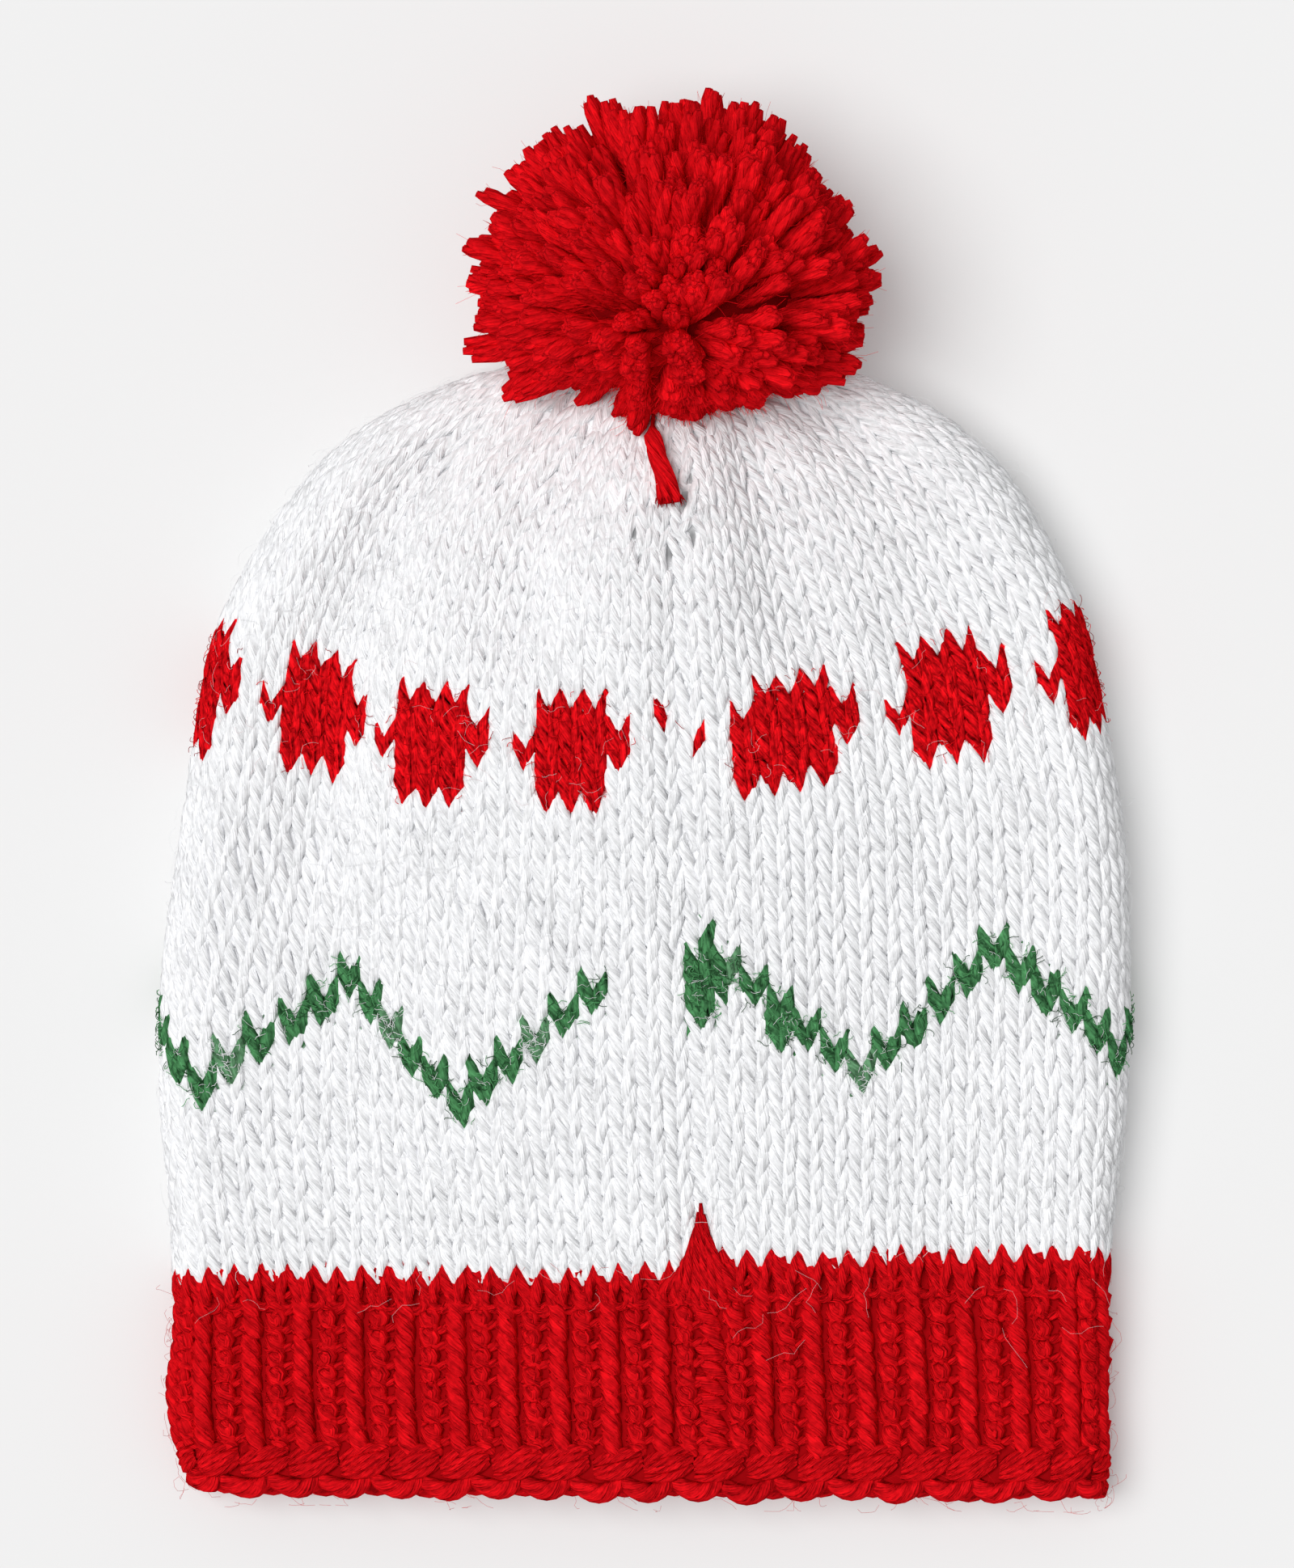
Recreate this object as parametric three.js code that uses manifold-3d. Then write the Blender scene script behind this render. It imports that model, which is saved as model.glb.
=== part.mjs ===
// Knit cap with a ribbed band and a yarn pompom, lying on its front with the back seam up.
// Millimetres, +Z up, +Y from the opening to the pompom.
import * as THREE from "three";
import { mergeVertices } from "three/addons/utils/BufferGeometryUtils.js";
import Module from "manifold-3d";

// Knitting, counted in stitches round the cap and in rows up from the top of the band
const STITCHES_ROUND = 74;
const EDGE_ROW = -11;
const LAST_ROW = 42.5;
const INNER_LAST_ROW = 40;
const RIB_STITCHES = 2;

// Wall thicknesses and clearances
const BODY_WALL = 3.6;
const BAND_WALL = 5;
const PIECE_GAP = 0.3;
const SEAT_GAP = 0.8;

// Sections of the lying cap from its lower edge to the gathered top.
// y: where the row crosses the middle of the back; rise: how much further up it is at the sides;
// tilt: how much higher its right end is than its left; half: half width; shift: middle in X;
// edge: thickness at the side folds; mid: height of the middle of the back; base: height of the underside
const SECTIONS = [
  { row: -11, y: 0, rise: 0, tilt: -1.5, half: 85, shift: 0.8, edge: 15, mid: 18.5, base: 0 },
  { row: -10, y: 4.2, rise: 0, tilt: -1, half: 87.5, shift: 0, edge: 16, mid: 19.5, base: 0 },
  { row: -6, y: 20.5, rise: 0, tilt: 0, half: 89, shift: -1.8, edge: 16, mid: 20, base: 0 },
  { row: -3, y: 32, rise: 0, tilt: 2.5, half: 88.6, shift: -1, edge: 16, mid: 20, base: 0 },
  { row: 0, y: 44.3, rise: 0, tilt: 5.5, half: 88.3, shift: -1, edge: 16.5, mid: 21, base: 0 },
  { row: 4, y: 61, rise: 0.5, tilt: 6, half: 89.6, shift: -0.5, edge: 17, mid: 22.5, base: 0 },
  { row: 7, y: 73.5, rise: 1.5, tilt: 6, half: 91, shift: -0.5, edge: 17.5, mid: 23.5, base: 0 },
  { row: 13, y: 99, rise: 3.5, tilt: 5.5, half: 91, shift: -0.2, edge: 18.5, mid: 26, base: 0 },
  { row: 18, y: 119.5, rise: 6, tilt: 4.5, half: 88.8, shift: 0.7, edge: 19.5, mid: 28, base: 0 },
  { row: 21, y: 132, rise: 8.5, tilt: 4, half: 86.5, shift: 0.6, edge: 20, mid: 29.5, base: 0 },
  { row: 26, y: 152.5, rise: 13, tilt: 2.5, half: 81.5, shift: 0.5, edge: 20.5, mid: 31, base: 0 },
  { row: 30, y: 168, rise: 16.5, tilt: 1, half: 72, shift: 1.5, edge: 20.5, mid: 32, base: 0 },
  { row: 34, y: 183, rise: 15.5, tilt: 0, half: 61, shift: 2.5, edge: 20, mid: 32, base: 0 },
  { row: 38, y: 197, rise: 12.5, tilt: 0, half: 44, shift: 3.5, edge: 18.5, mid: 30.5, base: 1.5 },
  { row: 41, y: 206, rise: 9, tilt: 0, half: 27, shift: 4.5, edge: 16, mid: 27, base: 6 },
  { row: 42.5, y: 210.5, rise: 5, tilt: 0, half: 11, shift: 4.9, edge: 12, mid: 25.5, base: 13 },
];
const OUTER_POLE = new THREE.Vector3(4.9, 215, 19);
const INNER_POLE = new THREE.Vector3(4.5, 205.5, 16);

// The back seam's distance from the middle of the section, at the lower edge and at the top
const SEAM_OFFSET_LOW = 9;
const SEAM_OFFSET_TOP = 0;
const SEAM_DEPTH = 1;
const SEAM_WIDTH = 0.8;

// Soft folds of the lying wall: stitch it runs along, half width in stitches, depth, first and last row
const FOLDS = [
  { stitch: -13.5, width: 1.5, depth: 2.2, first: 15, last: 39 },
  { stitch: -6.7, width: 1.7, depth: 2.8, first: 25, last: 40 },
  { stitch: 5, width: 1.8, depth: 3, first: 25, last: 40 },
  { stitch: 12, width: 1.5, depth: 1.4, first: 32, last: 41 },
  { stitch: 5, width: 2, depth: 1.2, first: 1, last: 6 },
  { stitch: -33, width: 2, depth: 1.6, first: 30, last: 41 },
  { stitch: 33, width: 2, depth: 1.6, first: 30, last: 41 },
];
const FOLD_FADE_ROWS = 4;

// Small gathers drawn in at the top
const GATHERS = 18;
const GATHER_DEPTH = 1.6;
const GATHER_FIRST_ROW = 35;

// Ribs of the band and the loops of its lower edge
const RIB_DEPTH = 1.7;
const RIB_FADE_ROWS = 1;
const EDGE_LOOP_DROP = 1.4;
const EDGE_LOOP_ROWS = 1.2;

// Pompom: centre, reach each way and the locks on its head
const POMPOM_CENTRE = new THREE.Vector3(4.9, 226, 30.5);
const POMPOM_REACH = { side: 38, up: 37, down: 22.5, high: 32, low: 32 };
const HEAD_SHARE = 0.86;
const HEAD_DETAIL = 3;
const LOCKS = 70;
const LOCK_SIDES = 5;
const LOCK_ROOT_SHARE = 0.6;
const LOCK_ROOT_RADIUS = 4.2;
const LOCK_TIP_RADIUS = 5.6;
const LOCK_LENGTH_SPREAD = 0.06;
const LOCK_LEAN = 0.12;
const FLOOR_BLOCK = 200;
const GOLDEN_ANGLE = Math.PI * (3 - Math.sqrt(5));
const SCATTER = { indexStep: 12.9898, saltStep: 78.233, stretch: 43758.5453 };

// End of the tie yarn, laid on the crown: stitch and row that it passes
const TIE_PATH = [
  { stitch: -3.4, row: 40.4 },
  { stitch: -2.6, row: 39 },
  { stitch: -1.4, row: 37.4 },
  { stitch: -0.4, row: 36 },
  { stitch: 0.2, row: 34.8 },
];
const TIE_RADIUS = 1.7;
const TIE_SIDES = 8;
const TIE_STEPS = 12;

// Facets: columns round each wall, and the rows where its rings lie
const BODY_COLUMNS = 74;
const BAND_COLUMNS = 148;
const BODY_OUTER_ROWS = [41.3, 39.6, 37.8, 36, 34, 32, 30, 28, 26, 24, 21, 18, 15, 12, 9, 6, 3];
const BODY_INNER_ROWS = [5, 11, 17, 22, 26, 30, 33.5, 37];
const BAND_OUTER_ROWS = [-0.5, -1.2, -5, -9.2, -10.2];
const BAND_INNER_ROWS = [-7, -3];
const LOOP_POINTS = 90;
const SLOPE_STEP = 0.05;

const RED = 0xae0b10;
const WHITE = 0xededef;

const wasm = await Module();
wasm.setup();

// Smooth value of one column of the section table at any row
function sectionValue(row, column) {
  const last = SECTIONS.length - 2;
  let index = SECTIONS.findIndex((section) => section.row > row) - 1;
  index = index < 0 ? (row < SECTIONS[0].row ? 0 : last) : Math.min(index, last);
  const here = SECTIONS[index];
  const next = SECTIONS[index + 1];
  const before = SECTIONS[Math.max(index - 1, 0)];
  const after = SECTIONS[Math.min(index + 2, SECTIONS.length - 1)];
  const span = next.row - here.row;
  const slopeHere = ((next[column] - before[column]) / (next.row - before.row)) * span;
  const slopeNext = ((after[column] - here[column]) / (after.row - here.row)) * span;
  const t = (row - here.row) / span;
  const rest = 1 - t;
  const bend = t * rest * (slopeHere * rest - slopeNext * t);
  const ease = t * t * (3 - 2 * t);
  return here[column] + (next[column] - here[column]) * ease + bend;
}

// One row of the cap as a closed loop of points, with its length and where the seam crosses it
function makeLoop(row) {
  const value = (column) => sectionValue(row, column);
  const [y, rise, tilt, half, shift] = ["y", "rise", "tilt", "half", "shift"].map(value);
  const [edge, mid, base] = ["edge", "mid", "base"].map(value);
  const radius = edge / 2;
  const flat = half - radius;
  const dome = mid - base - edge;
  const points = [];
  const addPoint = (x, z) => {
    const share = x / half;
    points.push(new THREE.Vector3(x + shift, y + rise * share * share + (tilt * share) / 2, base + z));
  };
  for (let i = 0; i < LOOP_POINTS; i += 1) {
    const share = (2 * i) / LOOP_POINTS - 1;
    addPoint(flat * share, edge + dome * (0.5 + 0.5 * Math.cos(Math.PI * share)));
  }
  for (let i = 0; i < LOOP_POINTS; i += 1) {
    const angle = Math.PI / 2 - (Math.PI * i) / LOOP_POINTS;
    addPoint(flat + radius * Math.cos(angle), radius + radius * Math.sin(angle));
  }
  for (let i = 0; i < LOOP_POINTS; i += 1) {
    addPoint(flat * (1 - (2 * i) / LOOP_POINTS), 0);
  }
  for (let i = 0; i < LOOP_POINTS; i += 1) {
    const angle = -Math.PI / 2 - (Math.PI * i) / LOOP_POINTS;
    addPoint(-flat + radius * Math.cos(angle), radius + radius * Math.sin(angle));
  }
  points.push(points[0].clone());
  const lengths = [0];
  for (let i = 1; i < points.length; i += 1) {
    lengths.push(lengths[i - 1] + points[i].distanceTo(points[i - 1]));
  }
  const along = (row - EDGE_ROW) / (LAST_ROW - EDGE_ROW);
  const seamX = shift + SEAM_OFFSET_LOW + (SEAM_OFFSET_TOP - SEAM_OFFSET_LOW) * along;
  const seamIndex = points.findIndex((point) => point.x >= seamX);
  return { points, lengths, seamLength: lengths[seamIndex] };
}

const loopCache = new Map();

function loopAt(row) {
  const bounded = Math.min(Math.max(row, EDGE_ROW), LAST_ROW);
  if (!loopCache.has(bounded)) loopCache.set(bounded, makeLoop(bounded));
  return loopCache.get(bounded);
}

// Point of the smooth outer form at a stitch, counted from the seam, and a row
function formPoint(stitch, row) {
  const { points, lengths, seamLength } = loopAt(row);
  const total = lengths[lengths.length - 1];
  const target = THREE.MathUtils.euclideanModulo(seamLength + (stitch / STITCHES_ROUND) * total, total);
  let low = 0;
  let high = lengths.length - 1;
  while (high - low > 1) {
    const middle = (low + high) >> 1;
    if (lengths[middle] <= target) low = middle;
    else high = middle;
  }
  const share = (target - lengths[low]) / (lengths[high] - lengths[low]);
  return points[low].clone().lerp(points[high], share);
}

// Outward direction of the smooth form
function formNormal(stitch, row) {
  const low = Math.max(row - SLOPE_STEP, EDGE_ROW);
  const high = Math.min(row + SLOPE_STEP, LAST_ROW);
  const around = formPoint(stitch + SLOPE_STEP, row).sub(formPoint(stitch - SLOPE_STEP, row));
  const upward = formPoint(stitch, high).sub(formPoint(stitch, low));
  return around.cross(upward).normalize();
}

// Point of the form moved outwards, and never below the surface that the cap lies on
function wallPoint(stitch, row, outward) {
  const point = formPoint(stitch, row).addScaledVector(formNormal(stitch, row), outward);
  point.z = Math.max(point.z, 0);
  return point;
}

// Distance round the cap between two stitches
function stitchDistance(a, b) {
  const turn = THREE.MathUtils.euclideanModulo(a - b + STITCHES_ROUND / 2, STITCHES_ROUND);
  return turn - STITCHES_ROUND / 2;
}

function bump(distance, width) {
  return Math.exp(-((distance / width) ** 2));
}

// Seam, folds and gathers of the knitted body, all drawn inwards
function bodyRelief(stitch, row) {
  let relief = -SEAM_DEPTH * bump(stitchDistance(stitch, 0), SEAM_WIDTH);
  for (const fold of FOLDS) {
    const rising = THREE.MathUtils.smoothstep(row, fold.first, fold.first + FOLD_FADE_ROWS);
    const falling = 1 - THREE.MathUtils.smoothstep(row, fold.last - FOLD_FADE_ROWS, fold.last);
    const strength = fold.depth * rising * falling;
    relief -= strength * bump(stitchDistance(stitch, fold.stitch), fold.width);
  }
  const gather = THREE.MathUtils.smoothstep(row, GATHER_FIRST_ROW, LAST_ROW);
  const wave = 0.5 - 0.5 * Math.cos((2 * Math.PI * GATHERS * stitch) / STITCHES_ROUND);
  return relief - GATHER_DEPTH * gather * wave;
}

// Height of the ribs: full on each knit column and sunk between them, fading into the body
function bandRelief(stitch, row) {
  const groove = Math.cos((Math.PI * stitch) / RIB_STITCHES) ** 2;
  const fade = THREE.MathUtils.smoothstep(-row, 0, RIB_FADE_ROWS);
  return -RIB_DEPTH * groove * fade;
}

// How far the hanging loops of the lower edge lift between the ribs
function edgeLift(stitch, row) {
  const groove = Math.cos((Math.PI * stitch) / RIB_STITCHES) ** 2;
  const near = 1 - THREE.MathUtils.smoothstep(row, EDGE_ROW, EDGE_ROW + EDGE_LOOP_ROWS);
  return EDGE_LOOP_DROP * groove * near;
}

// Closed surface through rings of points, from a start pole to an end pole, or round to the first ring
function ringGeometry(rings, startPole, endPole) {
  const columns = rings[0].length;
  const points = rings.flat();
  const indices = [];
  const closed = !startPole;
  const bands = closed ? rings.length : rings.length - 1;
  for (let i = 0; i < bands; i += 1) {
    const next = (i + 1) % rings.length;
    for (let j = 0; j < columns; j += 1) {
      const k = (j + 1) % columns;
      const a = i * columns + j;
      const b = next * columns + j;
      const c = next * columns + k;
      const d = i * columns + k;
      indices.push(a, b, c, a, c, d);
    }
  }
  if (!closed) {
    const start = points.push(startPole) - 1;
    const end = points.push(endPole) - 1;
    const lastRing = (rings.length - 1) * columns;
    for (let j = 0; j < columns; j += 1) {
      const k = (j + 1) % columns;
      indices.push(start, j, k);
      indices.push(end, lastRing + k, lastRing + j);
    }
  }
  const geometry = new THREE.BufferGeometry().setFromPoints(points);
  geometry.setIndex(indices);
  return geometry;
}

function ring(columns, pointAt) {
  return Array.from({ length: columns }, (_, j) => pointAt((j * STITCHES_ROUND) / columns));
}

// Row that lies a given distance from the top edge of the band
function rowFromJoin(distance) {
  const rowHeight = formPoint(0, 1).distanceTo(formPoint(0, 0));
  return distance / rowHeight;
}

function makeBody() {
  const joinRow = rowFromJoin(PIECE_GAP / 2);
  const outer = (row) => ring(BODY_COLUMNS, (stitch) => wallPoint(stitch, row, bodyRelief(stitch, row)));
  const inner = (row) => ring(BODY_COLUMNS, (stitch) => {
    return wallPoint(stitch, row, bodyRelief(stitch, row) - BODY_WALL);
  });
  const outerRings = [LAST_ROW, ...BODY_OUTER_ROWS, joinRow].map(outer);
  const innerRings = [joinRow, ...BODY_INNER_ROWS, INNER_LAST_ROW].map(inner);
  return ringGeometry([...outerRings, ...innerRings], OUTER_POLE.clone(), INNER_POLE.clone());
}

// The body without its hollow and grown outwards, for seating what lies on it
function makeBodyEnvelope() {
  const rows = [LAST_ROW, ...BODY_OUTER_ROWS, rowFromJoin(PIECE_GAP / 2)];
  const grown = (row) => ring(BODY_COLUMNS, (stitch) => {
    const relief = bodyRelief(stitch, row);
    return formPoint(stitch, row).addScaledVector(formNormal(stitch, row), relief + SEAT_GAP);
  });
  const pole = OUTER_POLE.clone();
  pole.y += SEAT_GAP;
  return ringGeometry(rows.map(grown), pole, formPoint(0, 0).setZ(sectionValue(0, "mid") / 2));
}

function makeBand() {
  const joinRow = -rowFromJoin(PIECE_GAP / 2);
  const lifted = (stitch, row, outward) => {
    const point = wallPoint(stitch, row, outward);
    point.y += edgeLift(stitch, row);
    return point;
  };
  const outer = (row) => ring(BAND_COLUMNS, (stitch) => lifted(stitch, row, bandRelief(stitch, row)));
  const inner = (row) => ring(BAND_COLUMNS, (stitch) => lifted(stitch, row, -BAND_WALL));
  const outerRings = [joinRow, ...BAND_OUTER_ROWS, EDGE_ROW].map(outer);
  const innerRings = [EDGE_ROW, ...BAND_INNER_ROWS, joinRow].map(inner);
  return ringGeometry([...outerRings, ...innerRings]);
}

function toManifold(geometry) {
  const bare = geometry.clone();
  bare.deleteAttribute("normal");
  bare.deleteAttribute("uv");
  const merged = mergeVertices(bare);
  const vertProperties = new Float32Array(merged.attributes.position.array);
  const triVerts = new Uint32Array(merged.index.array);
  return new wasm.Manifold(new wasm.Mesh({ numProp: 3, vertProperties, triVerts }));
}

function fromManifold(solid) {
  const mesh = solid.getMesh();
  const geometry = new THREE.BufferGeometry();
  geometry.setAttribute("position", new THREE.Float32BufferAttribute(mesh.vertProperties, 3));
  geometry.setIndex(Array.from(mesh.triVerts));
  return geometry;
}

// Repeatable scatter between -1 and 1
function scatter(index, salt) {
  const phase = index * SCATTER.indexStep + salt * SCATTER.saltStep;
  const wave = Math.sin(phase) * SCATTER.stretch;
  return 2 * (wave - Math.floor(wave)) - 1;
}

// Distance from the pompom's centre to its outline in a direction
function pompomReach(direction) {
  const alongY = direction.y > 0 ? POMPOM_REACH.up : POMPOM_REACH.down;
  const alongZ = direction.z > 0 ? POMPOM_REACH.high : POMPOM_REACH.low;
  const x = direction.x / POMPOM_REACH.side;
  const y = direction.y / alongY;
  const z = direction.z / alongZ;
  return 1 / Math.sqrt(x * x + y * y + z * z);
}

function makeHead() {
  const head = new THREE.IcosahedronGeometry(1, HEAD_DETAIL);
  const position = head.attributes.position;
  const point = new THREE.Vector3();
  for (let i = 0; i < position.count; i += 1) {
    point.fromBufferAttribute(position, i).normalize();
    point.multiplyScalar(HEAD_SHARE * pompomReach(point)).add(POMPOM_CENTRE);
    position.setXYZ(i, point.x, point.y, point.z);
  }
  return head;
}

// One blunt lock of yarn from inside the head to the outline
function makeLock(index) {
  const height = 1 - (2 * (index + 0.5)) / LOCKS;
  const ringRadius = Math.sqrt(1 - height * height);
  const angle = GOLDEN_ANGLE * index;
  const direction = new THREE.Vector3(ringRadius * Math.cos(angle), ringRadius * Math.sin(angle), height);
  const lean = new THREE.Vector3(scatter(index, 1), scatter(index, 2), scatter(index, 3));
  const reach = pompomReach(direction);
  const root = direction.clone().multiplyScalar(LOCK_ROOT_SHARE * reach);
  const tip = direction.clone().multiplyScalar(reach * (1 + LOCK_LENGTH_SPREAD * scatter(index, 4)));
  tip.addScaledVector(lean, LOCK_LEAN * LOCK_TIP_RADIUS);
  const axis = tip.clone().sub(root);
  const lock = new THREE.CylinderGeometry(LOCK_TIP_RADIUS, LOCK_ROOT_RADIUS, axis.length(), LOCK_SIDES);
  const upright = new THREE.Vector3(0, 1, 0);
  const turn = new THREE.Quaternion().setFromUnitVectors(upright, axis.clone().normalize());
  const middle = root.add(tip).multiplyScalar(0.5).add(POMPOM_CENTRE);
  lock.applyQuaternion(turn);
  lock.translate(middle.x, middle.y, middle.z);
  return lock;
}

// Round tube along the tie yarn's path, begun earlier by the lead
function makeTie(radius, lead) {
  const points = TIE_PATH.map(({ stitch, row }) => {
    const outward = bodyRelief(stitch, row) + TIE_RADIUS + PIECE_GAP;
    return wallPoint(stitch, row, outward);
  });
  const backward = points[0].clone().sub(points[1]).normalize();
  points[0].addScaledVector(backward, lead);
  const section = new THREE.Shape();
  section.absarc(0, 0, radius, 0, 2 * Math.PI);
  return new THREE.ExtrudeGeometry(section, {
    steps: TIE_STEPS,
    curveSegments: TIE_SIDES / 2,
    extrudePath: new THREE.CatmullRomCurve3(points),
  });
}

function makePompom() {
  let solid = toManifold(makeHead());
  for (let index = 0; index < LOCKS; index += 1) {
    solid = solid.add(toManifold(makeLock(index)));
  }
  const floor = new THREE.BoxGeometry(FLOOR_BLOCK, FLOOR_BLOCK, FLOOR_BLOCK);
  floor.translate(POMPOM_CENTRE.x, POMPOM_CENTRE.y, -FLOOR_BLOCK / 2);
  solid = solid.subtract(toManifold(floor));
  solid = solid.subtract(toManifold(makeBodyEnvelope()));
  solid = solid.subtract(toManifold(makeTie(TIE_RADIUS + PIECE_GAP, SEAT_GAP)));
  return fromManifold(solid);
}

function makeMesh(name, geometry, color) {
  const mesh = new THREE.Mesh(geometry, new THREE.MeshStandardMaterial({ color, roughness: 0.9 }));
  mesh.name = name;
  return mesh;
}

const cap = new THREE.Group();
cap.name = "knit_cap";
cap.add(makeMesh("knit_body", makeBody(), WHITE));
cap.add(makeMesh("ribbed_band", makeBand(), RED));
cap.add(makeMesh("pompom", makePompom(), RED));
cap.add(makeMesh("tie_end", makeTie(TIE_RADIUS, 0), RED));

// The origin is the middle of the underside
const box = new THREE.Box3().setFromObject(cap);
const middle = box.getCenter(new THREE.Vector3());
for (const mesh of cap.children) {
  mesh.geometry.translate(-middle.x, -middle.y, -box.min.z);
  mesh.geometry.computeVertexNormals();
}

export default cap;
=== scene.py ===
import functools
import math

import bpy
import numpy as np
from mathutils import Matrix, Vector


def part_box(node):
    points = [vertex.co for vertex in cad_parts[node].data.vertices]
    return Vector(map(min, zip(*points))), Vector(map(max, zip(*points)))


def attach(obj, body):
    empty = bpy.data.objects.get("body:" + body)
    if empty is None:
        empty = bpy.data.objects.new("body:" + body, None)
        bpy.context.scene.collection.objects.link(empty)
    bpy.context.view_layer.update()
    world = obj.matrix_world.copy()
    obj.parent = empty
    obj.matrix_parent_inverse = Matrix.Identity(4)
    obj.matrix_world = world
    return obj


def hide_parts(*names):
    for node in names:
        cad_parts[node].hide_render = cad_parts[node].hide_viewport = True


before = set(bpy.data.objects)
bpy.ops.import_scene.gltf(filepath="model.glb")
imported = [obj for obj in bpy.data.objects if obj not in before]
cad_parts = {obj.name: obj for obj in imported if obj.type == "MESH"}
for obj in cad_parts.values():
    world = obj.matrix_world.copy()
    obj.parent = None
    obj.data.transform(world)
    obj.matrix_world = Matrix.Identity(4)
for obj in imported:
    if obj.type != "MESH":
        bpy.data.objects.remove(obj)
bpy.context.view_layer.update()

bl_info = {
    "name": "Knit cap",
    "version": (1, 0, 0),
    "blender": (4, 5, 0),
    "location": "3D View > Sidebar > Cap",
    "description": "Dresses a lying knit cap with yarn: body, ribbed band, pompom and loose fibres",
    "category": "Object",
}

# One millimetre in metres
MM = 0.001

# Knitting, counted in stitches round the cap and in rows up from the top of the band: stitches, lowest
# edge of the band, and top of the crown
STITCHES_ROUND = 78
EDGE_ROW = -11.0
LAST_ROW = 42.5

# Sections of the lying cap, in millimetres, as the solids have them: row, place along, how far the sides
# lie onward of the middle and the right side of the left, half the width, shift across, height of the
# round edge, and heights of the top's middle and of the underside over the floor
SECTION_COLUMNS = ("row", "y", "rise", "tilt", "half", "shift", "edge", "mid", "base")
SECTIONS = np.array((
    (-11, 0, 0, -1.5, 85, 0.8, 15, 18.5, 0),
    (-10, 4.2, 0, -1, 87.5, 0, 16, 19.5, 0),
    (-6, 20.5, 0, 0, 89, -1.8, 16, 20, 0),
    (-3, 32, 0, 2.5, 88.6, -1, 16, 20, 0),
    (0, 44.3, 0, 5.5, 88.3, -1, 16.5, 21, 0),
    (4, 61, 0.5, 6, 89.6, -0.5, 17, 22.5, 0),
    (7, 73.5, 1.5, 6, 91, -0.5, 17.5, 23.5, 0),
    (13, 99, 3.5, 5.5, 91, -0.2, 18.5, 26, 0),
    (18, 119.5, 6, 4.5, 88.8, 0.7, 19.5, 28, 0),
    (21, 132, 8.5, 4, 86.5, 0.6, 20, 29.5, 0),
    (26, 152.5, 13, 2.5, 81.5, 0.5, 20.5, 31, 0),
    (30, 168, 16.5, 1, 72, 1.5, 20.5, 32, 0),
    (34, 183, 15.5, 0, 61, 2.5, 20, 32, 0),
    (38, 197, 12.5, 0, 44, 3.5, 18.5, 30.5, 1.5),
    (41, 206, 9, 0, 27, 4.5, 16, 27, 6),
    (42.5, 210.5, 5, 0, 11, 4.9, 12, 25.5, 13),
), dtype=float)
# Course of the seam up the back: row, and place across in millimetres
SEAM_COURSE = np.array(((-11, 10.6), (1, 9.0), (12, 7.5), (22, 6.0), (32, 4.6), (42.5, 4.9)))
# Depth of the seam's ditch in millimetres, and its half width in stitches
SEAM_DEPTH = 1.0
SEAM_WIDTH = 0.84

# Soft folds: stitch, half width in stitches, depth in millimetres, first and last row
FOLDS = (
    (-14.2, 1.6, 2.2, 15, 39),
    (-7.1, 1.8, 2.8, 25, 40),
    (5.3, 1.9, 3, 25, 40),
    (12.6, 1.6, 1.4, 32, 41),
    (5.3, 2.1, 1.2, 1, 6),
    (-34.8, 2.1, 1.6, 30, 41),
    (34.8, 2.1, 1.6, 30, 41),
)
# Rows in which a fold comes and goes
FOLD_FADE_ROWS = 4.0
# Gathers below the pompom: count, depth in millimetres, and first row
GATHERS = 18
GATHER_DEPTH = 1.6
GATHER_FIRST_ROW = 35.0

# Grid on which the form is sampled: places in a stitch, rows from line to line, and points in each of
# the four stretches of a section
GRID_PER_STITCH = 6
ROW_STEP = 0.25
LOOP_POINTS = 60
# Least length of a direction before it is divided, and lines kept free above the highest place
NORMAL_LEAST, LINES_FREE = 1e-12, 1.001

# How the left side's fold draws columns towards the seam: columns left of the seam, and how many
# columns they are drawn at the zigzag and at the dots
DRAWN_COLUMNS = np.array((
    (0, 0, 0),
    (4, -0.15, 0.2),
    (6.5, -0.33, 0.33),
    (8.5, -0.3, 0.43),
    (10, -0.1, 0.5),
    (13, 0.6, 0.65),
    (14, 0.68, 1.4),
    (18.5, -0.05, 2.1),
    (22, -0.15, 2.2),
    (38, 0, 0),
))
# Columns right of the seam, and how many columns they are spread at the dots
SPREAD_COLUMNS = np.array(((0, 0), (16, 0.8), (38, 0)))
# Rows, and the share of both that acts at each as at the zigzag and as at the dots
DRAWN_ROWS = np.array((0, 3, 10, 19, 30, 42))
DRAWN_AT_ZIGZAG = np.array((0, 0.2, 1, 0, 0, 0))
DRAWN_AT_DOTS = np.array((0, 0, 0, 1, 1, 0.2))
# How far the fabric is lifted, in rows: a column from the seam, then the lift at each of the rows
LIFT_ROWS = (1.5, 6.0, 14.0, 21.5, 25.5, 34.0)
LIFT_TABLE = np.array((
    (-38, 0, 0, 0, 0, 0, 0),
    (-25, 0.2, 1, 1, 0.7, 0.1, 0),
    (-17, 0.5, 1, 1, 0.7, 0.1, 0),
    (-11, 0.15, 0.4, 0.4, -0.1, -0.65, 0),
    (-5, -0.15, 0, 0, 0, -0.4, 0),
    (-0.5, 0, 0, 0, 0, -0.4, 0),
    (0.5, 0.4, 0, 0, -0.4, -1.2, 0),
    (4, 0.28, 0, 0, -0.4, -1.2, 0),
    (10, 0.2, 0, 0, -0.1, -0.55, 0),
    (18, 0, 0, 0, -0.1, -0.55, 0),
    (38, 0, 0, 0, 0, 0, 0),
))

# Small gaps between stitches beside the seam: stitch, row, and how far they push the yarn aside
HOLES = (
    (0.9, 36.6, 0.5),
    (0.85, 35.2, 0.5),
    (1.0, 33.3, 0.42),
    (0.05, 32.7, 0.45),
    (-1.86, 33.7, 0.2),
    (-1.3, 32.1, 0.25),
)
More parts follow.
